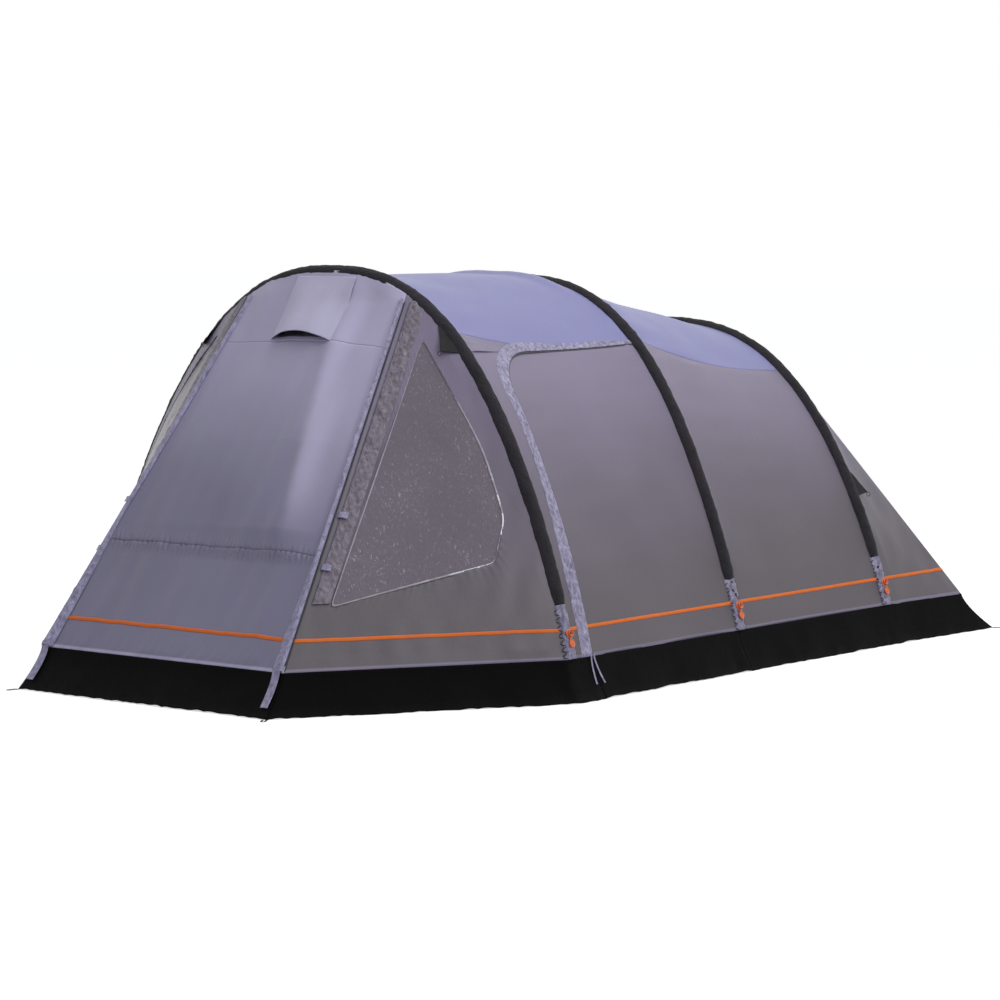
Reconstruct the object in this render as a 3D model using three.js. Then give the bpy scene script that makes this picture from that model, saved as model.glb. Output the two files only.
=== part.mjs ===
// A tunnel tent carried by three inflated arches, in millimetres, +Z up, front door towards -Y.
// The cloth is drawn as thin closed sheets between the arches; beams, valves and zip sliders are solid.
import * as THREE from 'three';
import { mergeVertices } from 'three/addons/utils/BufferGeometryUtils.js';

// ---------------------------------------------------------------- driving dimensions
const halfWidth = 1607; // centre line to the fabric at an arch's foot
const skirtHeight = 200; // ground to the seam where the mud skirt is sewn on
const coverHeight = 455; // ground to the top of a beam's foot cover
const frontArch = { y: 0, height: 2050, roofLine: 1752, lean: 0.039, roundX: 0.825, roundZ: 1.733 };
const middleArch = { y: 1464, height: 1982, roofLine: 1665, lean: 0, roundX: 0.676, roundZ: 1.955 };
const rearArch = { y: 2858, height: 1714, roofLine: 1459, lean: 0, roundX: 0.705, roundZ: 1.755 };
const legSteps = 7; // straight runs of an arch from its foot cover to the roof seam
const crownSteps = 5; // straight runs from the roof seam to the top
const attachStep = 2; // runs above the roof seam where the front panel's corners meet the arch

const porch = { halfWidth: 800, depth: 1224 }; // its two front corners at the skirt seam, from the front arch
const rearEnd = { inset: 17, depth: 721 }; // its corners stand inside the arches' feet, behind the rear arch
const frontBase = { halfWidth: porch.halfWidth, y: frontArch.y - porch.depth };
const rearBase = { halfWidth: halfWidth - rearEnd.inset, y: rearArch.y + rearEnd.depth };
const doorDrop = 370; // from the front arch's top to the line that the front door hangs from
const doorTop = frontArch.height - doorDrop;
const doorSeam = 712; // height of the cross seam in the front door
const sideZip = 160; // from the front arch's plane to the side door's zip
const sideZipCorner = 260; // radius of the zip's upper corner

const cloth = 2; // thickness of flysheet, skirt and tabs as drawn
const liningCloth = 1; // thickness of the bedroom's lighter cloth as drawn
const seamGap = 0.5; // between two sheets that are sewn or zipped edge to edge
const baySag = 45; // how far a roof panel dips between two arches
const sideFlare = 95; // how far the skirt's hem stands outside its seam
const frontFlare = 146;
const rearFlare = 175;
const doorHemLift = 3; // a door's skirt just clears the ground

const beam = { radius: 45, inset: 28, wall: 2, footRadius: 22, neckRadius: 25, sides: 8 };
const bladderWall = 1.5;
const fit = 0.3; // running clearance between pieces that nest
const beamClearance = 38.4; // from an arch's plane to the edge of a sheet sewn to its sleeve
const gableClearance = 39.2; // the same for the gables, which leave the sleeve at a slant
const crownClearance = 43.8; // the same for the front and rear panels, which drop steeply beside the sleeve

const valve = { rise: 120, holeLength: 30, stemRadius: 12, neckRadius: 18, neck: 14 };
const valveFlange = { radius: 23, thickness: 4 };
const valveCap = { radius: 20, thickness: 9, drop: 50, tabWidth: 14 };
const windowDrop = 62; // from the front arch's roof seam to the window's top
const windowSpan = { near: 0.14, far: 0.82 }; // shares of the way from the zip to the arch
const windowArea = { bottom: 500, top: frontArch.roofLine - windowDrop, ...windowSpan };
const windowDepth = 0.3; // the pane lies this far behind the gable's cloth
const gableTip = 6; // a gable ends this far below the corner of the panel beside it
const slider = { body: 22, width: 15, pull: 34, pullWidth: 7, height: 6, lift: 0.5, start: 40, fromZip: 1 };
const guyPatch = { run: 145, reach: 95, lift: 2.4, stand: 28, frontDrop: 250, rearDrop: 784 };
const hood = { drop: 80, length: 268, topHalf: 170, hemHalf: 222, hemRise: 75, stand: 45, belly: 40 };
const hoodTop = frontArch.height - hood.drop;
const prop = { width: 16, thickness: 4, fromHinge: 240, tilt: 35 };
const pegTab = { length: 60, width: 30, band: 8, slot: 30 }; // the slot takes the peg
const groundsheetInset = 107; // from an arch's foot to the groundsheet's edge
const groundsheetHalf = halfWidth - groundsheetInset;
const groundsheetSetback = 70; // from the front arch's plane
const bedroomGap = 0.5; // between a beam's inner side and the bedroom that hangs from it
const bedroomSetback = { side: 150, rear: 139 }; // from the tent's rear corner to the bedroom's
const bedroomRear = {
  halfWidth: rearBase.halfWidth - bedroomSetback.side,
  y: rearBase.y - bedroomSetback.rear,
};
const bedroomDoor = { centre: 250, halfWidth: 430, sill: 120, top: 1500, corner: 220 };

// ---------------------------------------------------------------- colours
const finish = (color, roughness, metalness = 0, extra = {}) =>
  new THREE.MeshStandardMaterial({ color, roughness, metalness, ...extra });
const flysheet = finish(0x85798a, 0.6);
const lavender = finish(0x8c89ad, 0.55);
const blackWeb = finish(0x2c2c31, 0.75);
const mudSkirt = finish(0x111416, 0.7);
const orangePlastic = finish(0xe2732f, 0.4);
const darkPlastic = finish(0x1b1b1e, 0.45);
const clearFilm = finish(0xb9b4c0, 0.15, 0, { transparent: true, opacity: 0.5 });
const airTube = finish(0xc9c9cc, 0.4);
const innerCloth = finish(0xb5b2b8, 0.8);
const floorSheet = finish(0x4a4c50, 0.7);

// ---------------------------------------------------------------- sheet and tube builders
const tent = new THREE.Group();
const yAxis = new THREE.Vector3(0, 1, 0);
const vec = (x, y, z) => new THREE.Vector3(x, y, z);
const mix = (a, b, s) => a.clone().lerp(b, s);

function addMesh(name, geometry, material) {
  const mesh = new THREE.Mesh(geometry, material);
  mesh.name = name;
  tent.add(mesh);
  return mesh;
}

// A closed solid from loose triangles: equal corners are merged and empty triangles dropped.
function solid(triangles) {
  const loose = new THREE.BufferGeometry();
  const numbers = triangles.flat().flatMap((p) => [p.x, p.y, p.z]);
  loose.setAttribute('position', new THREE.Float32BufferAttribute(numbers, 3));
  const merged = mergeVertices(loose, 1e-3);
  const index = merged.index.array;
  const kept = [];
  for (let i = 0; i < index.length; i += 3) {
    const [a, b, c] = [index[i], index[i + 1], index[i + 2]];
    if (a !== b && b !== c && c !== a) kept.push(a, b, c);
  }
  merged.setIndex(kept);
  return merged;
}

const quad = (a, b, c, d) => [[a, b, c], [a, c, d]];

// A sheet of even thickness on a grid of { p, n }: p on its outer face, n pointing out of it.
// isOpen(i, j) leaves out a cell, as for a window. Rows and columns run so that i x j points outwards.
function sheet(grid, thickness, isOpen = () => false) {
  const rows = grid.length - 1;
  const columns = grid[0].length - 1;
  const outer = grid.map((row) => row.map(({ p }) => p));
  const inner = grid.map((row) => row.map(({ p, n }) => p.clone().addScaledVector(n, -thickness)));
  const present = (i, j) => i >= 0 && j >= 0 && i < rows && j < columns && !isOpen(i, j);
  const faces = [];
  const wall = (i0, j0, i1, j1) =>
    faces.push(...quad(outer[i0][j0], inner[i0][j0], inner[i1][j1], outer[i1][j1]));
  for (let i = 0; i < rows; i += 1) {
    for (let j = 0; j < columns; j += 1) {
      if (!present(i, j)) continue;
      faces.push(...quad(outer[i][j], outer[i + 1][j], outer[i + 1][j + 1], outer[i][j + 1]));
      faces.push(...quad(inner[i][j], inner[i][j + 1], inner[i + 1][j + 1], inner[i + 1][j]));
      if (!present(i, j - 1)) wall(i, j, i + 1, j);
      if (!present(i, j + 1)) wall(i + 1, j + 1, i, j + 1);
      if (!present(i - 1, j)) wall(i, j + 1, i, j);
      if (!present(i + 1, j)) wall(i + 1, j, i + 1, j + 1);
    }
  }
  return solid(faces);
}

// Moves the first or last row or column of a grid inwards by half a seam gap.
function trim(grid, sides) {
  const lastRow = grid.length - 1;
  const lastColumn = grid[0].length - 1;
  const pull = (at, towards) => {
    const step = towards.p.clone().sub(at.p);
    return { p: at.p.clone().addScaledVector(step.normalize(), seamGap / 2), n: at.n };
  };
  return grid.map((row, i) =>
    row.map((at, j) => {
      let moved = at;
      if (sides.includes('first') && i === 0) moved = pull(moved, grid[1][j]);
      if (sides.includes('last') && i === lastRow) moved = pull(moved, grid[lastRow - 1][j]);
      if (sides.includes('start') && j === 0) moved = pull(moved, row[1]);
      if (sides.includes('end') && j === lastColumn) moved = pull(moved, row[lastColumn - 1]);
      return moved;
    }),
  );
}

// The mirror image of a grid across the tent's centre plane, still facing outwards.
const mirrorVector = (v) => vec(-v.x, v.y, v.z);
const mirrored = (grid) =>
  grid.map((row) => row.map(({ p, n }) => ({ p: mirrorVector(p), n: mirrorVector(n) })).reverse());

// The offset that stays at the given distance from several faces at once; each face is [normal, distance].
function offset(...faces) {
  const result = vec(0, 0, 0);
  const used = [];
  for (const [normal, distance] of faces) {
    const fresh = normal.clone();
    for (const other of used) fresh.addScaledVector(other, -normal.dot(other) / other.lengthSq());
    if (fresh.lengthSq() < 1e-5) continue;
    result.addScaledVector(fresh, (distance - result.dot(normal)) / fresh.lengthSq());
    used.push(fresh);
  }
  return result;
}

const up = vec(0, 0, 1);
const level = [up, 0];

// Gives every point of a grid of points the average normal of the cells around it.
function withNormals(points) {
  const cellNormal = (i, j) => {
    if (i < 0 || j < 0 || i + 1 >= points.length || j + 1 >= points[0].length) return vec(0, 0, 0);
    const diagonal = points[i + 1][j + 1].clone().sub(points[i][j]);
    return diagonal.cross(points[i][j + 1].clone().sub(points[i + 1][j]));
  };
  return points.map((row, i) =>
    row.map((p, j) => {
      const before = cellNormal(i - 1, j - 1).add(cellNormal(i - 1, j));
      const after = cellNormal(i, j - 1).add(cellNormal(i, j));
      return { p, n: before.add(after).normalize() };
    }),
  );
}

// ---------------------------------------------------------------- the arches
// x = halfWidth |cos t|^roundX, z = height |sin t|^roundZ: upright at the ground, round at the shoulder.
const archStop = { ground: 0, skirt: 1, cover: 2, roof: 2 + legSteps };
archStop.attach = archStop.roof + attachStep;
archStop.top = archStop.roof + crownSteps;
archStop.last = 2 * archStop.top;
const opposite = (k) => archStop.last - k;

const angleAt = (arch, z) => Math.asin((z / arch.height) ** (1 / arch.roundZ));

function archPoint(arch, t) {
  const z = arch.height * Math.sin(t) ** arch.roundZ;
  return vec(halfWidth * Math.max(Math.cos(t), 0) ** arch.roundX, arch.y + arch.lean * z, z);
}

function archAngles(arch) {
  const cover = angleAt(arch, coverHeight);
  const roof = angleAt(arch, arch.roofLine);
  const angles = [0, angleAt(arch, skirtHeight), cover];
  for (let s = 1; s <= legSteps; s += 1) angles.push(cover + ((roof - cover) * s) / legSteps);
  for (let s = 1; s <= crownSteps; s += 1) angles.push(roof + ((Math.PI / 2 - roof) * s) / crownSteps);
  return angles;
}

// The arch as straight runs on the fabric's outer face, from the right foot over the top to the left foot.
// Each corner's normal is stretched so that everything offset along it stays parallel to the runs.
function buildArch(arch) {
  const right = archAngles(arch).map((t) => archPoint(arch, t));
  right[archStop.top].x = 0;
  const points = [...right, ...right.slice(0, -1).reverse().map(mirrorVector)];
  const runNormal = (k) => {
    const run = points[k + 1].clone().sub(points[k]);
    return vec(run.z, 0, -run.x).normalize();
  };
  const lastRun = points.length - 2;
  const normals = points.map((_, k) => {
    if (k === 0 || k > lastRun) return offset([runNormal(Math.min(k, lastRun)), 1], level);
    return offset([runNormal(k - 1), 1], [runNormal(k), 1]);
  });
  const seamNormal = offset([runNormal(archStop.skirt), 1], level);
  return { ...arch, points, normals, runNormal, seamNormal };
}

const front = buildArch(frontArch);
const middle = buildArch(middleArch);
const rear = buildArch(rearArch);

// The point of an arch's fabric line at height z on the right leg, kept on its straight runs.
function legPoint(arch, z) {
  let k = 0;
  while (arch.points[k + 1].z < z) k += 1;
  const s = (z - arch.points[k].z) / (arch.points[k + 1].z - arch.points[k].z);
  return { p: mix(arch.points[k], arch.points[k + 1], s), n: mix(arch.normals[k], arch.normals[k + 1], s) };
}

// ---------------------------------------------------------------- beams: bladder, sleeve, foot covers, valve
const corner = Math.PI / beam.sides; // the tube's flats face straight out and straight fore and aft
const footRun = coverHeight - skirtHeight;
const holeHeights = [valve.rise - valve.holeLength / 2, valve.rise + valve.holeLength / 2];

// One eight-sided ring around a beam at fabric point p, with its radius measured to the flats.
function ring(p, n, radius) {
  return Array.from({ length: beam.sides }, (_, j) => {
    const angle = corner * (2 * j - 1);
    const reach = radius / Math.cos(corner);
    return p.clone()
      .addScaledVector(n, reach * Math.cos(angle) - beam.inset)
      .addScaledVector(yAxis, reach * Math.sin(angle));
  });
}

// Stations along a beam: { p, n, radius }, two of them at the height of the valve's hole on either leg.
function beamStations(arch, clear) {
  const { points, normals } = arch;
  const stations = [];
  const between = (k, s, radius, n) =>
    stations.push({ p: mix(points[k], points[k + 1], s), n: n ?? arch.runNormal(k), radius: radius - clear });
  const atCorner = (k, radius) => stations.push({ p: points[k], n: normals[k], radius: radius - clear });
  const nested = beam.radius - beam.wall - fit;
  const hole = holeHeights.map((z) => z / footRun);
  atCorner(archStop.ground, beam.footRadius);
  atCorner(archStop.skirt, beam.neckRadius);
  for (const s of hole) between(archStop.skirt, s, nested);
  atCorner(archStop.cover, nested);
  if (clear === 0) atCorner(archStop.cover, beam.radius);
  for (let k = archStop.cover + 1; k < opposite(archStop.cover); k += 1) atCorner(k, beam.radius);
  if (clear === 0) atCorner(opposite(archStop.cover), beam.radius);
  atCorner(opposite(archStop.cover), nested);
  for (const s of [...hole].reverse()) between(opposite(archStop.cover), 1 - s, nested);
  atCorner(opposite(archStop.skirt), beam.neckRadius);
  atCorner(opposite(archStop.ground), beam.footRadius);
  return stations;
}

// A tube wall between two stacks of rings. holeAt names the run whose outward flat is left open;
// closed ends are plugged, each wall at its own end ring.
function tube(outer, inner, { holeAt = -1, closed = false } = {}) {
  const faces = [];
  const next = (j) => (j + 1) % beam.sides;
  for (let i = 0; i + 1 < outer.length; i += 1) {
    for (let j = 0; j < beam.sides; j += 1) {
      const [a, b, c, d] = [outer[i][j], outer[i][next(j)], outer[i + 1][next(j)], outer[i + 1][j]];
      const [e, f, g, h] = [inner[i][j], inner[i][next(j)], inner[i + 1][next(j)], inner[i + 1][j]];
      if (i === holeAt && j === 0) {
        faces.push(...quad(b, f, e, a), ...quad(c, g, f, b), ...quad(d, h, g, c), ...quad(a, e, h, d));
      } else {
        faces.push(...quad(a, b, c, d), ...quad(e, h, g, f));
      }
    }
  }
  const last = outer.length - 1;
  for (let j = 0; j < beam.sides; j += 1) {
    if (closed) {
      if (j > 0 && j + 1 < beam.sides) {
        faces.push([outer[0][0], outer[0][j + 1], outer[0][j]]);
        faces.push([outer[last][0], outer[last][j], outer[last][j + 1]]);
        faces.push([inner[0][0], inner[0][j], inner[0][j + 1]]);
        faces.push([inner[last][0], inner[last][j + 1], inner[last][j]]);
      }
    } else {
      faces.push(...quad(outer[0][j], inner[0][j], inner[0][next(j)], outer[0][next(j)]));
      faces.push(...quad(outer[last][j], outer[last][next(j)], inner[last][next(j)], inner[last][j]));
    }
  }
  return solid(faces);
}

const ringsOf = (stations, shrink) => stations.map(({ p, n, radius }) => ring(p, n, radius - shrink));

function addSleeve(arch, name) {
  const stations = beamStations(arch, 0);
  const [outer, inner] = [ringsOf(stations, 0), ringsOf(stations, beam.wall)];
  addMesh(`beam_sleeve_${name}`, tube(outer, inner, { holeAt: 2 }), blackWeb);
}

function addBladder(arch, name) {
  const stations = beamStations(arch, beam.wall + fit);
  const lift = (rings, amount) => {
    const raise = (points, s) => points.map((p) => p.clone().setZ(p.z + s));
    return rings.map((points, i) => (i === 0 || i === rings.length - 1 ? raise(points, amount) : points));
  };
  const outer = lift(ringsOf(stations, 0), fit);
  const inner = lift(ringsOf(stations, bladderWall), fit + bladderWall);
  addMesh(`beam_bladder_${name}`, tube(outer, inner, { holeAt: 2, closed: true }), airTube);
}

// A foot cover: a short sleeve over the beam's lower end, between the skirt seam and the black sleeve.
function footCoverGeometry(arch) {
  const [a, b] = [archStop.skirt, archStop.cover];
  const run = arch.points[b].clone().sub(arch.points[a]);
  const step = run.clone().normalize().multiplyScalar(seamGap);
  const at = (z) => ({ p: mix(arch.points[a], arch.points[b], z / footRun), n: arch.runNormal(a) });
  const stations = [
    { p: arch.points[a].clone().add(step), n: arch.seamNormal },
    ...holeHeights.map(at),
    { p: arch.points[b].clone().sub(step), n: arch.normals[b] },
  ];
  const rings = (radius) => stations.map(({ p, n }) => ring(p, n, radius));
  return { outer: rings(beam.radius), inner: rings(beam.radius - beam.wall) };
}

function addFootCovers(arch, name) {
  const { outer, inner } = footCoverGeometry(arch);
  addMesh(`foot_cover_${name}_right`, tube(outer, inner, { holeAt: 1 }), lavender);
  const flip = (rings) => rings.map((points) => points.map(mirrorVector)).reverse();
  addMesh(`foot_cover_${name}_left`, tube(flip(outer), flip(inner)), lavender);
}

// The place on a right foot cover where the valve comes out: local +Z points straight out of the beam.
function valveSeat(arch) {
  const n = arch.runNormal(archStop.skirt);
  const p = mix(arch.points[archStop.skirt], arch.points[archStop.cover], valve.rise / footRun);
  const seat = new THREE.Group();
  seat.position.copy(p.addScaledVector(n, beam.radius - beam.inset + fit));
  const down = vec(-n.z, 0, n.x).negate();
  const basis = new THREE.Matrix4().makeBasis(down.clone().cross(n).negate(), down.clone().negate(), n);
  seat.quaternion.setFromRotationMatrix(basis);
  tent.add(seat);
  return seat;
}

function addValve(arch, name) {
  const seat = valveSeat(arch);
  const depth = beam.wall * 2 + bladderWall + fit * 3 + 4;
  const top = valveFlange.thickness + valve.neck;
  const profile = [[0, -depth], [valve.stemRadius, -depth], [valve.stemRadius, 0], [valveFlange.radius, 0],
    [valveFlange.radius, valveFlange.thickness], [valve.neckRadius, valveFlange.thickness],
    [valve.neckRadius, top], [0, top]].map(([r, h]) => new THREE.Vector2(r, h));
  const body = new THREE.Mesh(new THREE.LatheGeometry(profile, 16).rotateX(Math.PI / 2), orangePlastic);
  body.name = `valve_body_${name}`;
  seat.add(body);

  const outline = new THREE.Shape();
  const half = Math.asin(valveCap.tabWidth / 2 / valveCap.radius);
  outline.absarc(0, 0, valveCap.radius, Math.PI / 2 + half, Math.PI / 2 - half + 2 * Math.PI, false);
  const tabEnd = valveCap.drop - valveFlange.radius - seamGap;
  outline.lineTo(valveCap.tabWidth / 2, tabEnd);
  outline.lineTo(-valveCap.tabWidth / 2, tabEnd);
  outline.closePath();
  const thick = { depth: valveCap.thickness, bevelEnabled: false, curveSegments: 16 };
  const cap = new THREE.Mesh(new THREE.ExtrudeGeometry(outline, thick), orangePlastic);
  cap.name = `valve_cap_${name}`;
  cap.position.set(0, -valveCap.drop, seamGap);
  seat.add(cap);
}

for (const [arch, name] of [[front, 'front'], [middle, 'middle'], [rear, 'rear']]) {
  addBladder(arch, name);
  addSleeve(arch, name);
  addFootCovers(arch, name);
  addValve(arch, name);
}

// ---------------------------------------------------------------- tunnel panels between two arches
// The cloth runs straight from sleeve to sleeve and dips between them, most at the top.
function tunnelPoint(a, b, k, v) {
  const start = a.points[k].clone().addScaledVector(yAxis, beamClearance);
  const end = b.points[k].clone().addScaledVector(yAxis, -beamClearance);
  const atSeam = Math.min(k, opposite(k)) === archStop.skirt;
  const n = atSeam ? mix(a.seamNormal, b.seamNormal, v) : mix(a.normals[k], b.normals[k], v);
  const share = Math.sin((Math.PI / 2) * Math.min(k, opposite(k)) / archStop.top);
  const dip = baySag * share * 4 * v * (1 - v);
  return { p: mix(start, end, v).addScaledVector(n, -dip), n };
}

function tunnelGrid(a, b, from, to, stops) {
  const grid = [];
  for (let k = from; k <= to; k += 1) grid.push(stops(k).map((v) => tunnelPoint(a, b, k, v)).reverse());
  return grid;
}

const evenly = (count, from = 0, to = 1) =>
  Array.from({ length: count + 1 }, (_, i) => from + ((to - from) * i) / count);
const { skirt: skirtStop, roof: roofStop, top: topStop } = archStop;

const roofGrid = (a, b) =>
  trim(tunnelGrid(a, b, roofStop, opposite(roofStop), () => evenly(4)), ['first', 'last']);
addMesh('roof_front', sheet(roofGrid(front, middle), cloth), lavender);
addMesh('roof_rear', sheet(roofGrid(middle, rear), cloth), lavender);

const wallGrid = (a, b) => trim(tunnelGrid(a, b, skirtStop, roofStop, () => evenly(4)), ['first', 'last']);
addMesh('wall_rear_right', sheet(wallGrid(middle, rear), cloth), flysheet);
addMesh('wall_rear_left', sheet(mirrored(wallGrid(middle, rear)), cloth), flysheet);
addMesh('wall_front_left', sheet(mirrored(wallGrid(front, middle)), cloth), flysheet);

// The side door's zip: straight beside the front arch, then a round corner up to the roof seam.
function zipShare(k) {
  const edge = front.points[roofStop].distanceTo(front.points[k]);
  const below = Math.min(edge, sideZipCorner);
  const curve = sideZipCorner - Math.sqrt(sideZipCorner ** 2 - (sideZipCorner - below) ** 2);
  const bay = middle.y - front.points[k].y - 2 * beamClearance;
  return (sideZip + curve - beamClearance - front.points[k].y + front.y) / bay;
}

const stripGrid = tunnelGrid(front, middle, skirtStop, roofStop, (k) => evenly(1, 0, zipShare(k)));
addMesh('side_door_surround', sheet(trim(stripGrid, ['first', 'last', 'start']), cloth), flysheet);
const sideDoorGrid = tunnelGrid(front, middle, skirtStop, roofStop, (k) => evenly(4, zipShare(k), 1));
addMesh('side_door', sheet(trim(sideDoorGrid, ['first', 'last', 'end']), cloth), flysheet);

// ---------------------------------------------------------------- front: gables, windows, crown and door
const attach = front.points[archStop.attach].clone().addScaledVector(yAxis, -crownClearance);
const frontCorner = vec(frontBase.halfWidth, frontBase.y, skirtHeight);
const rearAttach = rear.points[roofStop].clone().addScaledVector(yAxis, crownClearance);
const rearCorner = vec(rearBase.halfWidth, rearBase.y, skirtHeight);
const edgeLine = (from, to) => (z) => mix(from, to, (z - from.z) / (to.z - from.z));
const frontEdge = edgeLine(frontCorner, attach); // where gable and front panel are zipped together
const rearEdge = edgeLine(rearCorner, rearAttach);
const panelNormal = (edge, side) => {
  const fall = edge(1).sub(edge(0));
  return vec(0, side * fall.z, -side * fall.y).normalize();
};
const gableBetween = (arch, edge, side, top) => ({ arch, edge, side, top, panel: panelNormal(edge, side) });
const frontGable = gableBetween(front, frontEdge, -1, attach.z);
const rearGable = gableBetween(rear, rearEdge, 1, rearAttach.z);

// A gable is ruled level by level from its straight edge, share 0, to the arch's leg, share 1. It starts
// further from the sleeve near the top, where it drops more steeply.
function gablePoint({ arch, edge, side }, z, share) {
  const clearance = gableClearance + (crownClearance - gableClearance) * (z / arch.height) ** 2;
  return mix(edge(z), legPoint(arch, z).p.addScaledVector(yAxis, side * clearance), share);
}

// The way a gable faces; its corner at the top is taken to face like the cloth just under it.
function gableNormal(gable, z, share) {
  const below = Math.min(z, gable.top - 2 * beam.radius);
  const rule = gablePoint(gable, below, 1).sub(gablePoint(gable, below, 0));
  const rise = gablePoint(gable, below + 1, share).sub(gablePoint(gable, below - 1, share));
  return rise.cross(rule).multiplyScalar(gable.side).normalize();
}

// The inner face follows both sheets along the zipped edge, and is cut level at the skirt seam.
function gableGrid(gable, heights, shares) {
  return withNormals(heights.map((z) => shares.map((s) => gablePoint(gable, z, s)))).map((row, i) =>
    row.map(({ p, n }, j) => {
      const faces = shares[j] === 0 ? [[gableNormal(gable, heights[i], 0), 1], [gable.panel, 1]] : [[n, 1]];
      return { p, n: offset(...faces, ...(heights[i] === skirtHeight ? [level] : [])) };
    }));
}

const legHeights = (arch, stop) => arch.points.slice(skirtStop + 1, stop + 1).map((p) => p.z);
const downwards = (heights) => heights.sort((a, b) => b - a);
const gableHeights = downwards([frontGable.top - gableTip, ...legHeights(front, archStop.attach - 1),
  windowArea.bottom, windowArea.top, skirtHeight]);
const gableShares = [0, ...evenly(2, windowArea.near, windowArea.far), 1];
const isWindow = (i, j) =>
  gableHeights[i] <= windowArea.top && gableHeights[i + 1] >= windowArea.bottom
  && j > 0 && j < gableShares.length - 2;
const isMirroredWindow = (i, j) => isWindow(i, gableShares.length - 2 - j);
const frontGableGrid = gableGrid(frontGable, gableHeights, gableShares);
const frontGableSheet = trim(frontGableGrid, ['last', 'start']);
addMesh('front_gable_right', sheet(frontGableSheet, cloth, isWindow), flysheet);
addMesh('front_gable_left', sheet(mirrored(frontGableSheet), cloth, isMirroredWindow), flysheet);

const paneGrid = frontGableGrid.map((row) =>
  row.map(({ p, n }) => ({ p: p.clone().addScaledVector(n, -cloth - windowDepth), n })));
addMesh('window_right', sheet(paneGrid, liningCloth, (i, j) => !isWindow(i, j)), clearFilm);
addMesh('window_left', sheet(mirrored(paneGrid), liningCloth, (i, j) => !isMirroredWindow(i, j)), clearFilm);

// A front or rear panel: its end columns share the gables' edges, and its inner face follows them there.
function panelOffsets(grid, gable, isSeam) {
  return grid.map((row, i) => row.map(({ p, n }, j) => {
    const faces = [[n, 1]];
    if (j === 0 || j === row.length - 1) {
      const edgeNormal = gableNormal(gable, p.z, 0);
      faces.splice(0, 1, [gable.panel, 1], [p.x > 0 ? edgeNormal : mirrorVector(edgeNormal), 1]);
    }
    return { p, n: offset(...faces, ...(isSeam(i) ? [level] : [])) };
  }));
}

// The crown spans from the arch's top down to the straight line that the door hangs from.
const across = (corner, s) => vec(corner.x * (1 - 2 * s), corner.y, corner.z);
const doorTopCorner = frontEdge(doorTop);
const crownColumns = opposite(archStop.attach) - archStop.attach;
const crownTop = (j) => front.points[archStop.attach + j].clone().addScaledVector(yAxis, -crownClearance);
const crownPoints = evenly(2).map((v) =>
  evenly(crownColumns).map((s, j) => mix(crownTop(j), across(doorTopCorner, s), v)).reverse());
const crownGrid = panelOffsets(withNormals(crownPoints), frontGable, () => false);
addMesh('front_crown', sheet(trim(crownGrid, ['last', 'start', 'end']), cloth), lavender);

function doorGrid(from, to, rows) {
  const points = evenly(rows, from, to).map((z) => evenly(4).map((s) => across(frontEdge(z), s)).reverse());
  return panelOffsets(withNormals(points), frontGable, (i) => i === rows && to === skirtHeight);
}
const allSides = ['first', 'last', 'start', 'end'];
addMesh('front_door_upper', sheet(trim(doorGrid(doorTop, doorSeam, 3), allSides), cloth), lavender);
addMesh('front_door_lower', sheet(trim(doorGrid(doorSeam, skirtHeight, 2), allSides), cloth), lavender);

// ---------------------------------------------------------------- rear: gables and end panel
const rearHeights = downwards([rearGable.top - gableTip, ...legHeights(rear, roofStop - 1), skirtHeight]);
const rearGableSheet = trim(gableGrid(rearGable, rearHeights, evenly(3, 1, 0)), ['last', 'end']);
addMesh('rear_gable_right', sheet(rearGableSheet, cloth), flysheet);
addMesh('rear_gable_left', sheet(mirrored(rearGableSheet), cloth), flysheet);

const rearColumns = opposite(roofStop) - roofStop;
const rearTop = (j) => rear.points[roofStop + j].clone().addScaledVector(yAxis, crownClearance);
const rearRows = 4;
const rearPoints = evenly(rearRows).map((v) =>
  evenly(rearColumns).map((s, j) => mix(rearTop(j), across(rearCorner, s), v)));
const rearGrid = panelOffsets(withNormals(rearPoints), rearGable, (i) => i === rearRows);
addMesh('rear_panel', sheet(trim(rearGrid, ['last', 'start', 'end']), cloth), lavender);

// ---------------------------------------------------------------- mud skirt
// The seam line of the right half at skirt height, from the front corner back to the rear corner. Each point
// says how far the hem stands outside the run that starts there, and the named ones are where pieces meet.
const seamRun = (points, flare, name) =>
  points.map((p, i) => ({ p, flare, name: i === 0 ? name : undefined }));
const wallBase = (a, b, stops) => stops.map((v) => tunnelPoint(a, b, skirtStop, v).p);
const gableBase = (gable, shares) => shares.map((s) => gablePoint(gable, skirtHeight, s));
const zip = zipShare(skirtStop);
const rightSeam = [
  ...seamRun(gableBase(frontGable, evenly(3)), sideFlare, 'frontCorner'),
  ...seamRun(wallBase(front, middle, [0]), sideFlare, 'frontFoot'),
  ...seamRun(wallBase(front, middle, evenly(3, zip, 1).slice(0, -1)), sideFlare, 'sideZip'),
  ...seamRun(wallBase(front, middle, [1]), sideFlare, 'sideHinge'),
  ...seamRun(wallBase(middle, rear, evenly(3)), sideFlare),
  ...seamRun(gableBase(rearGable, [1, 0.5]), sideFlare),
  ...seamRun([rearCorner], rearFlare, 'rearCorner'),
];
const leftSeam = rightSeam.map(({ p, name }, i) => ({
  p: mirrorVector(p),
  flare: i === 0 ? frontFlare : sideFlare,
  name: name && `${name}Left`,
})).reverse();
const seam = [...rightSeam, ...leftSeam];

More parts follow.
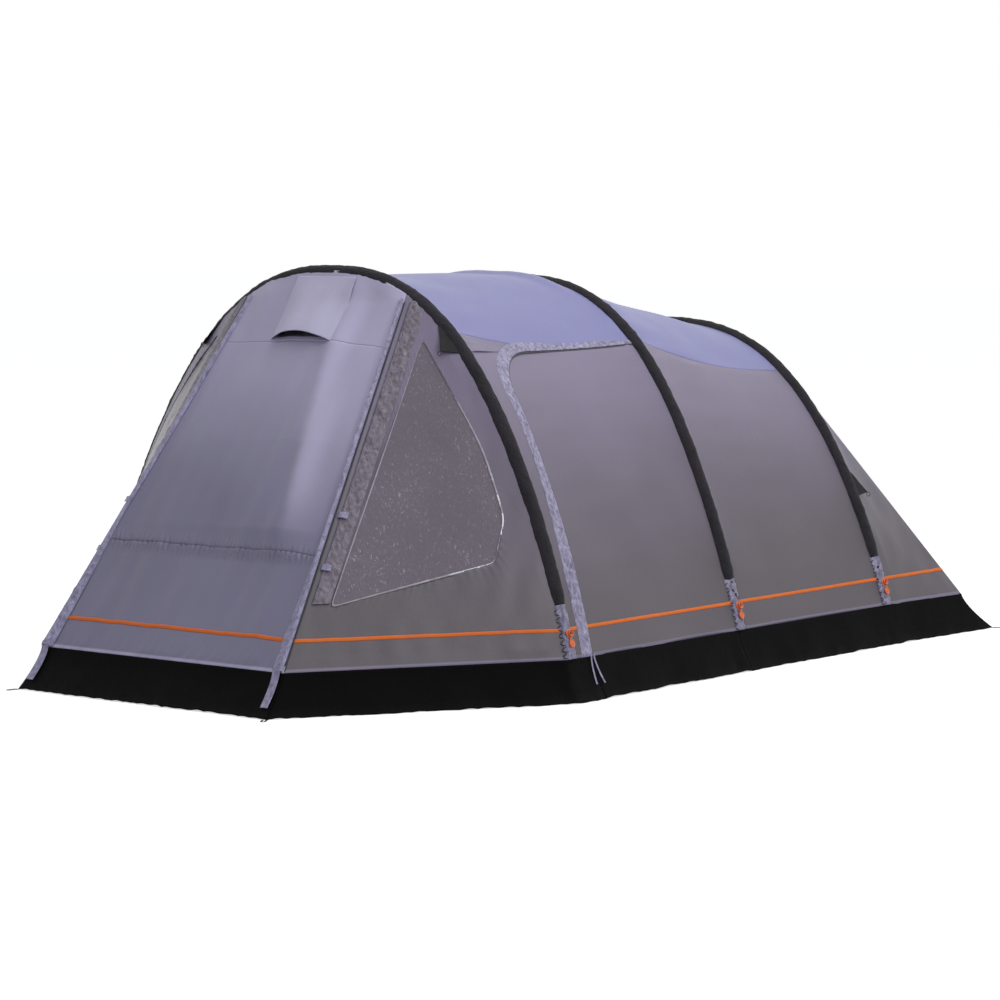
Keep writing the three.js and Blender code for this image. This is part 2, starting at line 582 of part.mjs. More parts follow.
// Where the hem lies: the crossing of the two runs' offset lines, or straight out where the runs line up.
function hemPoint(i) {
  const at = (j) => seam[(j + seam.length) % seam.length];
  const outward = (j) => {
    const run = at(j + 1).p.clone().sub(at(j).p).setZ(0).normalize();
    return vec(run.y, -run.x, 0);
  };
  const [before, after] = [outward(i - 1), outward(i)];
  const out = before.clone().add(after).normalize();
  const [flareBefore, flareAfter] = [at(i - 1).flare, at(i).flare];
  const lineUp = before.dot(after) > Math.cos(Math.PI / 12);
  const shift = lineUp
    ? out.clone().multiplyScalar((flareBefore + flareAfter) / 2)
    : offset([before, flareBefore], [after, flareAfter]);
  return { out, inward: offset([before, 1], [after, 1]), shift };
}

function skirtGrid(from, to, hemHeight) {
  const find = (name) => seam.findIndex((point) => point.name === name);
  const first = find(from);
  const count = ((find(to) - first + seam.length) % seam.length) + 1;
  const columns = Array.from({ length: count }, (_, j) => {
    const i = (first + j) % seam.length;
    const { inward, shift } = hemPoint(i);
    const top = seam[i].p.clone().setZ(skirtHeight - seamGap / 2);
    return [{ p: top, n: inward }, { p: top.clone().add(shift).setZ(hemHeight), n: inward }];
  });
  return trim([0, 1].map((row) => columns.map((column) => column[row])), ['start', 'end']);
}

const addSkirt = (name, from, to, hemHeight = 0) =>
  addMesh(name, sheet(skirtGrid(from, to, hemHeight), cloth), mudSkirt);
addSkirt('skirt_front_door', 'frontCornerLeft', 'frontCorner', doorHemLift);
addSkirt('skirt_front_right', 'frontCorner', 'sideZip');
addSkirt('skirt_side_door', 'sideZip', 'sideHinge', doorHemLift);
addSkirt('skirt_right', 'sideHinge', 'rearCorner');
addSkirt('skirt_rear', 'rearCorner', 'rearCornerLeft');
addSkirt('skirt_left', 'rearCornerLeft', 'frontFootLeft');
addSkirt('skirt_front_left', 'frontFootLeft', 'frontCornerLeft');

// A webbing loop for a peg lies on the ground outside each corner of the hem.
const rectangle = (x0, x1, halfDepth) => [
  [x0, -halfDepth], [x1, -halfDepth], [x1, halfDepth], [x0, halfDepth],
].map(([x, y]) => new THREE.Vector2(x, y));
const pegOutline = new THREE.Shape(rectangle(0, pegTab.length, pegTab.width / 2));
const slotEnd = pegTab.length - pegTab.band;
const slot = rectangle(slotEnd - pegTab.slot, slotEnd, pegTab.width / 2 - pegTab.band);
pegOutline.holes.push(new THREE.Path(slot.reverse()));
const pegSheet = { depth: cloth, bevelEnabled: false };
for (const [name, at] of [['front_right', 'frontCorner'], ['front_left', 'frontCornerLeft'],
  ['rear_right', 'rearCorner'], ['rear_left', 'rearCornerLeft']]) {
  const i = seam.findIndex((point) => point.name === at);
  const { out, shift } = hemPoint(i);
  const tab = addMesh(`peg_tab_${name}`, new THREE.ExtrudeGeometry(pegOutline, pegSheet), blackWeb);
  tab.position.copy(seam[i].p.clone().add(shift).setZ(0).addScaledVector(out, seamGap));
  tab.rotation.z = Math.atan2(out.y, out.x);
}

// ---------------------------------------------------------------- guy patches
// A three-cornered reinforcement sewn into the sleeve's seam over the gable, its point standing free.
function addGuyPatch(name, gable, top) {
  const low = top - guyPatch.run;
  const stops = gable.arch.points.map((p) => p.z).slice(0, topStop).filter((z) => z > low && z < top);
  const onSeam = (z) => gablePoint(gable, z, 1).addScaledVector(gableNormal(gable, z, 1), guyPatch.lift);
  const width = gablePoint(gable, low, 0).distanceTo(gablePoint(gable, low, 1));
  const share = 1 - guyPatch.reach / width;
  const tip = gablePoint(gable, low, share).addScaledVector(gableNormal(gable, low, share), guyPatch.stand);
  const points = downwards([top, ...stops, low]).map((z) => {
    const row = [mix(onSeam(top), tip, (top - z) / guyPatch.run), onSeam(z)];
    return gable.side < 0 ? row : row.reverse();
  });
  const right = withNormals(points);
  addMesh(`guy_patch_${name}_right`, sheet(right, cloth), blackWeb);
  addMesh(`guy_patch_${name}_left`, sheet(mirrored(right), cloth), blackWeb);
}
addGuyPatch('front', frontGable, frontArch.height - guyPatch.frontDrop);
addGuyPatch('rear', rearGable, rearArch.height - guyPatch.rearDrop);

// ---------------------------------------------------------------- zip sliders
// A slider with its pull: local +X runs up the zip, local +Z out of the cloth.
const sliderOutline = new THREE.Shape();
const halfBody = slider.width / 2;
const halfPull = slider.pullWidth / 2;
const sliderPoints = [[0, -halfBody], [slider.body, -halfBody], [slider.body, halfBody], [0, halfBody],
  [0, halfPull], [-slider.pull, halfPull], [-slider.pull, -halfPull], [0, -halfPull]];
sliderOutline.setFromPoints(sliderPoints.map(([x, y]) => new THREE.Vector2(x, y)));

// The slider rides on the fixed cloth beside a zip, so that the door's edge can swing clear of it.
function addSlider(name, { foot, along, out, aside }) {
  const thick = { depth: slider.height, bevelEnabled: false };
  const mesh = addMesh(name, new THREE.ExtrudeGeometry(sliderOutline, thick), darkPlastic);
  const across = out.clone().cross(along).normalize();
  const face = along.clone().cross(across);
  mesh.quaternion.setFromRotationMatrix(new THREE.Matrix4().makeBasis(along, across, face));
  mesh.position.copy(foot).addScaledVector(along, slider.start).addScaledVector(face, slider.lift)
    .addScaledVector(across, aside * (halfBody + slider.fromZip));
}

// Beside the front door the gable twists: the slider faces as the cloth does at the top of its way.
const ridge = {
  foot: frontCorner,
  along: frontEdge(1).sub(frontEdge(0)).normalize(),
  out: gableNormal(frontGable, doorTop, 0),
};
addSlider('zip_slider_front_right', { ...ridge, aside: 1 });
const mirroredRidge = Object.fromEntries(Object.entries(ridge).map(([key, v]) => [key, mirrorVector(v)]));
addSlider('zip_slider_front_left', { ...mirroredRidge, aside: -1 });
const sideZipPoint = (k) => tunnelPoint(front, middle, k, zipShare(k)).p;
const sideZipFoot = sideZipPoint(skirtStop);
const sideZipAlong = sideZipPoint(archStop.cover).sub(sideZipFoot).normalize();
const wallOut = front.runNormal(skirtStop);
addSlider('zip_slider_side', { foot: sideZipFoot, along: sideZipAlong, out: wallOut, aside: -1 });

// ---------------------------------------------------------------- vent hood and its prop
// The hood is sewn to the crown along a straight top edge, and its hem bows outwards and upwards.
const crownFall = crownTop(crownColumns / 2).sub(vec(0, doorTopCorner.y, doorTopCorner.z));
const crownY = (z) => doorTopCorner.y + (crownFall.y * (z - doorTop)) / crownFall.z;
const crownOut = vec(0, -crownFall.z, crownFall.y).normalize();
const hoodTopY = crownY(hoodTop) - (cloth + seamGap) / -crownOut.y;
const hoodColumns = 6;
const hoodPoints = evenly(2).map((v) => evenly(hoodColumns, -1, 1).map((s) => {
  const hemZ = hoodTop - hood.length + hood.hemRise * (1 - s ** 4);
  const hemPlace = vec(s * hood.hemHalf, crownY(hemZ) - hood.stand - hood.belly * (1 - s ** 2), hemZ);
  return mix(vec(s * hood.topHalf, hoodTopY, hoodTop), hemPlace, v);
}));
addMesh('vent_hood', sheet(withNormals(hoodPoints), cloth), lavender);

// The prop is a stiff strip hinged inside the hood; its foot stands on the crown, leaning up the slope.
const hoodPivot = vec(0, hoodTopY, hoodTop);
const hoodFall = hoodPoints[2][hoodColumns / 2].clone().sub(hoodPivot).normalize();
const hoodOut = vec(0, hoodFall.z, -hoodFall.y);
const propHead = hoodPivot.clone().addScaledVector(hoodFall, prop.fromHinge)
  .addScaledVector(hoodOut, -(cloth + seamGap + prop.thickness / 2));
const crownUp = crownFall.clone().normalize();
const tilt = THREE.MathUtils.degToRad(prop.tilt);
const propDown = crownOut.clone().multiplyScalar(-Math.cos(tilt)).addScaledVector(crownUp, Math.sin(tilt));
const propSide = vec(1, 0, 0);
const propHeight = propHead.clone().sub(vec(0, crownY(doorTop), doorTop)).dot(crownOut);
const propLength = (propHeight - seamGap - (prop.thickness / 2) * Math.sin(tilt)) / Math.cos(tilt);
const propBox = new THREE.BoxGeometry(prop.width, prop.thickness, propLength).translate(0, 0, propLength / 2);
const propMesh = addMesh('vent_prop', propBox, darkPlastic);
propMesh.quaternion.setFromRotationMatrix(
  new THREE.Matrix4().makeBasis(propSide, propDown.clone().cross(propSide), propDown));
propMesh.position.copy(propHead);

// ---------------------------------------------------------------- inside: groundsheet and bedroom
// An outline in X and Z drawn as a thin upright sheet that starts at y and runs back.
function uprightSheet(name, outline, y, depth, material) {
  const geometry = new THREE.ExtrudeGeometry(outline, { depth, bevelEnabled: false, curveSegments: 8 });
  const mesh = addMesh(name, geometry, material);
  mesh.rotation.x = Math.PI / 2;
  mesh.position.y = y + depth;
}

function floorPiece(name, corners, material) {
  const outline = new THREE.Shape(corners.map(([x, y]) => new THREE.Vector2(x, y)));
  addMesh(name, new THREE.ExtrudeGeometry(outline, { depth: cloth, bevelEnabled: false }), material);
}

const symmetric = (half) => [...half, ...half.map(([x, y]) => [-x, y]).reverse()];
floorPiece('groundsheet', symmetric([[groundsheetHalf, groundsheetSetback],
  [groundsheetHalf, middle.y - seamGap]]), floorSheet);

// The bedroom hangs from the beams' inner sides: a tunnel from the middle arch to the rear one, closed by a
// sheet that runs down to a straight line on the ground.
const bedroomInset = beam.inset + beam.radius + bedroomGap;
const innerLine = (arch, k, y) =>
  arch.points[k].clone().addScaledVector(arch.normals[k], -bedroomInset).setY(y);
const bedroomFront = middle.y + liningCloth + seamGap;
const underRear = rear.y - beam.radius * Math.tan(corner);
const bedroomColumns = Array.from({ length: archStop.last + 1 }, (_, k) => k);
const rearShare = (k) => Math.min(Math.max((k - 1) / (archStop.last - 2), 0), 1);
const bedroomRows = [
  bedroomColumns.map((k) => innerLine(middle, k, bedroomFront)),
  bedroomColumns.map((k) => innerLine(rear, k, underRear)),
  bedroomColumns.map((k) => vec(bedroomRear.halfWidth * (1 - 2 * rearShare(k)), bedroomRear.y, 0)),
];
const linerGrid = withNormals(bedroomRows).map((row) =>
  row.map(({ p, n }) => ({ p, n: p.z > seamGap ? n : offset([n, 1], level) })));
addMesh('bedroom_liner', sheet(linerGrid, liningCloth), innerCloth);

const floorInset = liningCloth + seamGap + cloth / 2;
const floorRearInset = 10; // the liner comes down flat over the floor's rear corners
floorPiece('bedroom_floor', symmetric([
  [bedroomRows[0][0].x - floorInset, bedroomFront],
  [bedroomRows[1][0].x - floorInset, underRear],
  [bedroomRear.halfWidth - floorInset, bedroomRear.y - floorRearInset]]), floorSheet);

const insideMiddle = bedroomColumns.map((k) => innerLine(middle, k, 0));
const frontOutline = new THREE.Shape(insideMiddle.map((p) => new THREE.Vector2(p.x, p.z)));
const doorOutline = (inset) => {
  const { centre, halfWidth: half, sill, top, corner: round } = bedroomDoor;
  const [left, right, radius] = [centre - half + inset, centre + half - inset, round - inset];
  const outline = new THREE.Shape();
  outline.moveTo(left, sill + inset);
  outline.lineTo(right, sill + inset);
  outline.absarc(right - radius, top - round, radius, 0, Math.PI / 2, false);
  outline.absarc(left + radius, top - round, radius, Math.PI / 2, Math.PI, false);
  outline.closePath();
  return outline;
};
frontOutline.holes.push(new THREE.Path(doorOutline(0).getPoints(8)));
uprightSheet('bedroom_front', frontOutline, middle.y, liningCloth, innerCloth);
uprightSheet('bedroom_door', doorOutline(seamGap), middle.y, liningCloth, innerCloth);

// ---------------------------------------------------------------- origin
// The finished tent stands with the middle of its box's base at the origin.
const box = new THREE.Box3().setFromObject(tent);
tent.position.set(-(box.min.x + box.max.x) / 2, -(box.min.y + box.max.y) / 2, -box.min.z);

export default tent;
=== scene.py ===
# A family tunnel tent that stands on three inflated arches: porch in front, side door, inner bedroom at the
# back, and a black mud skirt all round. Metres, +Z up, front door towards -Y.
import math

import bmesh
import bpy
import numpy as np
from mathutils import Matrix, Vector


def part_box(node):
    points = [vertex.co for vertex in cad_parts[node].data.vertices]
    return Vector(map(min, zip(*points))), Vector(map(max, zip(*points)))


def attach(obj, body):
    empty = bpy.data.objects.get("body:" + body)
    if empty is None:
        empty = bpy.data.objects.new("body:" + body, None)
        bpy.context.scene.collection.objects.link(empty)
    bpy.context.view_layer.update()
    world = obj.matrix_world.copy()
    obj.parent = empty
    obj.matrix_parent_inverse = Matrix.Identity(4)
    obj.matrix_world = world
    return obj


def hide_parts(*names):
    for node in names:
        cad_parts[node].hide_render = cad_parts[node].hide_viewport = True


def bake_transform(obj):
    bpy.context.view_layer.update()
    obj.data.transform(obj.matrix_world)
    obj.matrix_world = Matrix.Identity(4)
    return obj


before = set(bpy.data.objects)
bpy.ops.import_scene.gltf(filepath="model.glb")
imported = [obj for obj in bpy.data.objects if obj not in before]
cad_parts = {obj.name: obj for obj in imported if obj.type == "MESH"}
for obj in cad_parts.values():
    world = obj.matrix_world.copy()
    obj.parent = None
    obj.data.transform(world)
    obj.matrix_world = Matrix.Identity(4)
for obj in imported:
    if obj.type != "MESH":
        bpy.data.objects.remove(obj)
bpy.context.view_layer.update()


# ---------------------------------------------------------------- camera
# A long lens far off the front right corner, somewhat above the tent's top, looking down by 5 degrees.
camera = bpy.data.objects.new("camera", bpy.data.cameras.new("camera"))
bpy.context.scene.collection.objects.link(camera)
camera.location = (11.8444, -14.7458, 2.4744)
camera.rotation_euler = (math.pi / 2 - 0.088, 0.0, 0.6689)
camera.data.sensor_width = 36.0
camera.data.lens = 128.14
camera.data.clip_end = 200.0
bpy.context.scene.camera = camera


# ---------------------------------------------------------------- beam sleeves
# Three arches of air-filled film, each in a long sleeve of coarse black cloth that runs from the ground over
# the top to the ground. Roof, walls and gables are sewn into the sleeves' side seams.
HALF = 1.607  # centre line to an arch's foot
SKIRT_SEAM, COVER_TOP = 0.200, 0.455  # heights of the mud skirt's seam and of the foot covers' upper edge
MIDDLE_AFT, REAR_AFT = 1.464, 2.858  # from the front arch's foot to the two others
SLEEVE_HALF = 0.045  # half of a sleeve's width along the tent
FRONT_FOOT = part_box("beam_sleeve_middle")[0][1] + SLEEVE_HALF - MIDDLE_AFT  # y of the front arch's foot
FRONT = {"y": FRONT_FOOT, "height": 2.050, "roof": 1.752, "lean": 0.039, "x": 0.825, "z": 1.733}
MIDDLE = {"y": FRONT_FOOT + MIDDLE_AFT, "height": 1.982, "roof": 1.665, "lean": 0.0, "x": 0.676, "z": 1.955}
REAR = {"y": FRONT_FOOT + REAR_AFT, "height": 1.714, "roof": 1.459, "lean": 0.0, "x": 0.705, "z": 1.755}
SKIRT, COVER, ROOF, ATTACH, TOP, LAST = 1, 2, 9, 11, 14, 28  # stops along an arch
ARCHES = ((FRONT, "front"), (MIDDLE, "middle"), (REAR, "rear"))
BEAM_SINK = 0.028  # from an arch's fabric line in to its beam's centre line


def arch_angle(arch, height):
    """The arch's parameter t where it has that height: sin t is (height / top) to the power 1 / z."""
    return np.arcsin((np.asarray(height) / arch["height"]) ** (1 / arch["z"]))


def arch_line(arch, stop):
    """Points on an arch's fabric line and its outward directions at stops 0 (right foot) to 28 (left foot).
    x is half |cos t|^x and z is height |sin t|^z, with t spaced evenly between the named stops."""
    stop = np.asarray(stop, float)
    side, near = np.where(stop > TOP, -1.0, 1.0), np.minimum(stop, LAST - stop)
    marks = [0.0, *(float(arch_angle(arch, h)) for h in (SKIRT_SEAM, COVER_TOP, arch["roof"])), math.pi / 2]
    t = np.interp(near, [0, SKIRT, COVER, ROOF, TOP], marks)
    c, s = np.maximum(np.cos(t), 1e-7), np.maximum(np.sin(t), 1e-7)
    x, z = HALF * c ** arch["x"], arch["height"] * s ** arch["z"]
    x = np.where(near >= TOP - 1e-9, 0.0, x)
    rise = arch["height"] * arch["z"] * s ** (arch["z"] - 1) * c
    run = HALF * arch["x"] * c ** (arch["x"] - 1) * s
    length = np.hypot(rise, run)
    points = np.stack([side * x, arch["y"] + arch["lean"] * z, z], -1)
    return points, np.stack([side * rise / length, np.zeros_like(x), run / length], -1)


def ripple(places, size, seed, waves=10):
    """Smooth uneven swelling: a sum of sine waves, each about `size` metres long, in seeded directions."""
    rng = np.random.default_rng(seed)
    total = 0.0
    for _ in range(waves):
        way = rng.normal(size=3)
        way *= 2 * math.pi / (size * rng.uniform(0.6, 1.7) * np.linalg.norm(way))
        total = total + np.sin(places @ way + rng.uniform(0, 2 * math.pi))
    return total / math.sqrt(waves)


def crumple(places, size, seed, waves=7):
    """Sharp little folds: sine waves folded at zero, 1 - 2|sin|, bent by a slower ripple, then averaged."""
    rng = np.random.default_rng(seed)
    bend = ripple(places, size * 2.5, seed + 1)
    total = 0.0
    for _ in range(waves):
        way = rng.normal(size=3)
        way *= math.pi / (size * rng.uniform(0.5, 1.8) * np.linalg.norm(way))
        total = total + 1 - 2 * np.abs(np.sin(places @ way + 1.3 * bend + rng.uniform(0, 2 * math.pi)))
    return total / math.sqrt(waves)


def stretches(points, axis):
    """Distances between neighbouring points of a grid along its rows or columns."""
    return np.linalg.norm(np.diff(points, axis=axis), axis=-1)


def outward_of(points, inside=(0.0, 0.3, 0.5)):
    """Unit normals of a grid of points, from the cross product of its two slopes, away from a point."""
    normal = np.cross(np.gradient(points, axis=0), np.gradient(points, axis=1))
    normal /= np.maximum(np.linalg.norm(normal, axis=-1, keepdims=True), 1e-12)
    return normal * np.sign(np.sum(normal * (points - np.array(inside))) or 1.0)


def surface(name, points, around=False, inside=(0.0, 0.3, 0.5), thick=0.0):
    """A smooth mesh on a grid of points, rows by columns. `around` joins the last column to the first. Faces
    turn away from `inside`, equal corners are merged, and the UV map holds metres along the cloth."""
    rows, columns = points.shape[:2]
    index = np.arange(rows * columns).reshape(rows, columns)
    left, right = (index, np.roll(index, -1, 1)) if around else (index[:, :-1], index[:, 1:])
    quads = np.stack([left[:-1], left[1:], right[1:], right[:-1]], -1).reshape(-1, 4)
    along = np.concatenate([[0], np.cumsum(stretches(points, 0).mean(1))])
    ring = np.concatenate([points, points[:, :1]], 1) if around else points
    across = np.concatenate([[0], np.cumsum(stretches(ring, 1).mean(0))])
    u0, v0 = np.meshgrid(across[:-1], along[:-1])
    u1, v1 = np.meshgrid(across[1:], along[1:])
    uv = np.stack([np.stack(p, -1) for p in ((u0, v0), (u0, v1), (u1, v1), (u1, v0))], 2).reshape(-1, 4, 2)
    flat = points.reshape(-1, 3)
    corners = flat[quads]
    normal = np.cross(corners[:, 2] - corners[:, 0], corners[:, 3] - corners[:, 1])
    if np.sum(normal * (corners.mean(1) - np.array(inside))) < 0:
        quads, uv = quads[:, ::-1], uv[:, ::-1]
    mesh = bpy.data.meshes.new(name)
    mesh.vertices.add(len(flat))
    mesh.vertices.foreach_set("co", flat.astype(np.float32).ravel())
    mesh.loops.add(quads.size)
    mesh.loops.foreach_set("vertex_index", np.ascontiguousarray(quads, np.int32).ravel())
    mesh.polygons.add(len(quads))
    mesh.polygons.foreach_set("loop_start", np.arange(0, quads.size, 4, dtype=np.int32))
    mesh.update(calc_edges=True)
    layer = mesh.uv_layers.new(name="cloth")
    layer.data.foreach_set("uv", np.ascontiguousarray(uv, np.float32).ravel())
    work = bmesh.new()
    work.from_mesh(mesh)
    bmesh.ops.remove_doubles(work, verts=work.verts, dist=1e-6)
    bmesh.ops.dissolve_degenerate(work, edges=work.edges, dist=1e-7)
    work.to_mesh(mesh)
    work.free()
    mesh.shade_smooth()
    piece = bpy.data.objects.new(name, mesh)
    bpy.context.scene.collection.objects.link(piece)
    if thick:
        wall = piece.modifiers.new("wall", "SOLIDIFY")
        wall.thickness, wall.offset = thick, -1.0
    return piece


def dress(piece, finish, slot, body, *nodes):
    """Gives a piece its finish, lets it ride on a body given by name and otherwise bakes its place into its
    mesh, and hides the nodes behind it. The slot is not used.
    """
    piece.data.materials.append(finish)
    if isinstance(body, str):
        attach(piece, body)
    else:
        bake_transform(piece)
    if nodes:
        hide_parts(*nodes)


def paint(red, green, blue):
    """A colour given as it looks, 0 to 255 a channel, as the shader's linear RGBA."""
    level = np.array([red, green, blue]) / 255
    level = np.where(level <= 0.04045, level / 12.92, ((level + 0.055) / 1.055) ** 2.4)
    return (*map(float, level), 1.0)


class Socket:
    """One output of a node. Sums, products and powers on it add the Math nodes for them."""

    def __init__(self, finish, socket):
        self.finish, self.socket = finish, socket

    def step(self, operation, first, second):
        return self.finish.node("ShaderNodeMath", {"operation": operation}, {0: first, 1: second})

    def __add__(self, other):
        return self.step("ADD", self, other)

    __radd__ = __add__

    def __sub__(self, other):
        return self.step("SUBTRACT", self, other)

    def __rsub__(self, other):
        return self.step("SUBTRACT", other, self)

    def __mul__(self, other):
        return self.step("MULTIPLY", self, other)

    __rmul__ = __mul__

    def __pow__(self, other):
        return self.step("POWER", self, other)


class Finish:
    """A material under construction: one shader, and a method that adds any other node to it."""

    def __init__(self, name, **settings):
        self.material = bpy.data.materials.new(name)
        self.material.use_nodes = True
        self.tree = self.material.node_tree
        self.shader = self.tree.nodes["Principled BSDF"]
        for key, value in settings.items():
            self.shader.inputs[key.replace("_", " ")].default_value = value

    def node(self, kind, settings=None, inputs=None, output=0):
        """Adds a node: its settings first, then its sockets' values or links. Returns one of its outputs."""
        node = self.tree.nodes.new(kind)
        for key, value in (settings or {}).items():
            setattr(node, key, value)
        for key, value in (inputs or {}).items():
            if isinstance(value, Socket):
                self.tree.links.new(value.socket, node.inputs[key])
            else:
                node.inputs[key].default_value = value
        return Socket(self, node.outputs[output])

    def place(self):
        """The place on the piece, in metres."""
        return self.node("ShaderNodeTexCoord", output="Object")

    def coordinate(self, axis):
        """One coordinate of the place: 0 is across the tent, 1 aft and 2 up."""
        return self.node("ShaderNodeSeparateXYZ", inputs={0: self.place()}, output=axis)

    def slanted(self, turn, length):
        """Places turned about the tent's width and squeezed in height, so that a pattern there slants."""
        return self.node("ShaderNodeMapping", inputs={"Vector": self.place(), "Rotation": (turn, 0.0, 0.0),
                                                      "Scale": (1, 1, length)})

    def ramp(self, value, first, last, smooth=False):
        """Rises from 0 to 1 while a value goes from `first` to `last`."""
        settings = {"interpolation_type": "SMOOTHSTEP"} if smooth else {}
        return self.node("ShaderNodeMapRange", settings,
                         {"Value": value, "From Min": first, "From Max": last})

    def cloth(self):
        """The two distances along the cloth, in metres."""
        uv = self.node("ShaderNodeUVMap", {"uv_map": "cloth"})
        return [self.node("ShaderNodeSeparateXYZ", inputs={0: uv}, output=i) for i in (0, 1)]

    def weave(self, pitch):
        """Crossing threads of plain woven cloth, one every `pitch` metres."""
        u, v = self.cloth()
        return self.wave(u, pitch) * self.wave(v, pitch)

    def wave(self, distance, pitch):
        """A sine wave along a distance, from 0 to 1, one crest every `pitch` metres."""
        turn = distance * (2 * math.pi / pitch)
        return self.node("ShaderNodeMath", {"operation": "SINE"}, {0: turn}) * 0.5 + 0.5

    def noise(self, scale, detail=3.0, rough=0.5, bend=0.0, where=None):
        """Uneven clouds of tone, `scale` of them in a metre."""
        spots = {"Vector": where or self.place(), "Scale": scale, "Detail": detail, "Roughness": rough,
                 "Distortion": bend}
        return self.node("ShaderNodeTexNoise", inputs=spots)

    def between(self, low, high, share):
        """A colour between two colours."""
        ends = {"Factor": share, "A": low, "B": high}
        node = self.tree.nodes.new("ShaderNodeMix")
        node.data_type = "RGBA"
        for key, value in ends.items():
            socket = next(s for s in node.inputs if s.name == key and s.enabled)
            if isinstance(value, Socket):
                self.tree.links.new(value.socket, socket)
            else:
                socket.default_value = value
        return Socket(self, next(s for s in node.outputs if s.enabled))

    def feed(self, **sockets):
        """Links values to the shader's sockets. bump is a height in metres for a Bump node before Normal."""
        height = sockets.pop("bump", None)
        if height is not None:
            bump = self.node("ShaderNodeBump", inputs={"Strength": 1.0, "Distance": 1.0, "Height": height})
            sockets["Normal"] = bump
        for key, value in sockets.items():
            self.tree.links.new(value.socket, self.shader.inputs[key.replace("_", " ")])
        return self.material


def sleeve_cloth():
    """Coarse black woven polyester: a thick twill, paler where the threads cross and where it is rubbed."""
    f = Finish("sleeve cloth", Sheen_Weight=0.03, Sheen_Roughness=0.5, Specular_IOR_Level=0.16)
    u, v = f.cloth()
    twill = f.wave(u + v, 0.0042) * 0.6 + f.wave(v - u, 0.0042) * 0.4
    worn = f.noise(9.0, 5.0, 0.6)
    fleck = f.noise(150.0, 3.0, 0.7)
    tone = f.ramp(twill * 0.25 + worn * 0.35 + fleck * 0.5, 0.4, 0.75)
    colour = f.between(paint(8, 8, 10), paint(54, 50, 58), tone)
    creases = f.noise(40.0, 4.0, 0.6, 1.0)
    return f.feed(Base_Color=colour, Roughness=worn * 0.2 + 0.6,
                  bump=twill * 0.0006 + fleck * 0.0024 + creases * 0.004)


black_sleeve = sleeve_cloth()


def tube(arch, stops, radius, sink, wide=1.0):
    """Rings about a line that lies `sink` inside an arch's fabric line: radius (cos a outward + wide sin a
    aft)."""
    points, outward = arch_line(arch, stops)
    turn = np.linspace(0, 2 * math.pi, 48, endpoint=False)
    centre = points - outward * np.asarray(sink)[..., None]
    fore = np.array([0.0, wide, 0.0])
    ring = np.cos(turn)[None, :, None] * outward[:, None, :] + np.sin(turn)[None, :, None] * fore
    return centre[:, None, :] + np.asarray(radius)[:, None, None] * ring


def capped(rings):
    """Closes both ends of a stack of rings with their middle points."""
    first, last = (np.broadcast_to(rings[i].mean(0), rings[i].shape) for i in (0, -1))
    return np.concatenate([first[None], rings, last[None]])


for arch, name in ARCHES:
    stops = np.concatenate([np.linspace(0, COVER, 16, endpoint=False), [COVER - 1e-3],
                            np.linspace(COVER, TOP, 180)])
    stops = np.concatenate([stops, (LAST - stops)[::-1][1:]])
    near = np.minimum(stops, LAST - stops)
    radius = np.interp(near, [0, 1, 1.3, COVER - 1e-3, COVER, COVER + 0.3],
                       [0.022, 0.025, 0.041, 0.0422, 0.0452, 0.0495])
    sink = np.interp(near, [COVER, COVER + 0.3], [BEAM_SINK, 0.0225])
    rings = tube(arch, stops, radius, sink, 1.04)
    centre = rings.mean(1, keepdims=True)
    way = (rings - centre) / radius[:, None, None]
    creases = 0.0015 * crumple(rings, 0.05, 11) + 0.0012 * ripple(rings, 0.16, 12)
    outer_side = np.clip(np.cos(np.linspace(0, 2 * math.pi, 48, endpoint=False)) + 0.2, 0, 1)[None, :]
    upper = np.clip((near - COVER) * 4, 0, 1)[:, None] * outer_side
    rings = rings + way * (creases * upper)[..., None]
    rings[..., 2] = np.maximum(rings[..., 2], 0.0)
    sleeve = surface(f"sleeve_{name}", capped(rings), around=True, inside=(0, arch["y"], 0.0))
    dress(sleeve, black_sleeve, "beam_sleeve_fabric", "tent", f"beam_sleeve_{name}")


# ---------------------------------------------------------------- air bladders
# Each sleeve holds a long tube of clear grey film, welded shut at both ends. Only the valve comes out of it.
def bladder_skin():
    """Clear grey film: slow changes of tone and soft small dents."""
    f = Finish("bladder film", Roughness=0.32, Coat_Weight=0.2)
    cloud = f.noise(6.0, 3.0)
    colour = f.between(paint(186, 188, 194), paint(208, 208, 212), cloud)
    return f.feed(Base_Color=colour, bump=f.noise(45.0, 3.0) * 0.0015)


film_grey = bladder_skin()
for arch, name in ARCHES:
    stops = np.concatenate([np.linspace(0.05, COVER, 12, endpoint=False), np.linspace(COVER, TOP, 90)])
    stops = np.concatenate([stops, (LAST - stops)[::-1][1:]])
    near = np.minimum(stops, LAST - stops)
    radius = np.interp(near, [0.05, 0.3, 1, 1.3, COVER], [0.006, 0.019, 0.022, 0.038, 0.0408])
    rings = tube(arch, stops, radius, BEAM_SINK)
    rings[..., 2] = np.maximum(rings[..., 2], 0.001)
    bladder = surface(f"air_bladder_{name}", capped(rings), around=True, inside=(0, arch["y"], 0.0))
    dress(bladder, film_grey, "bladder_film", "tent", f"beam_bladder_{name}")


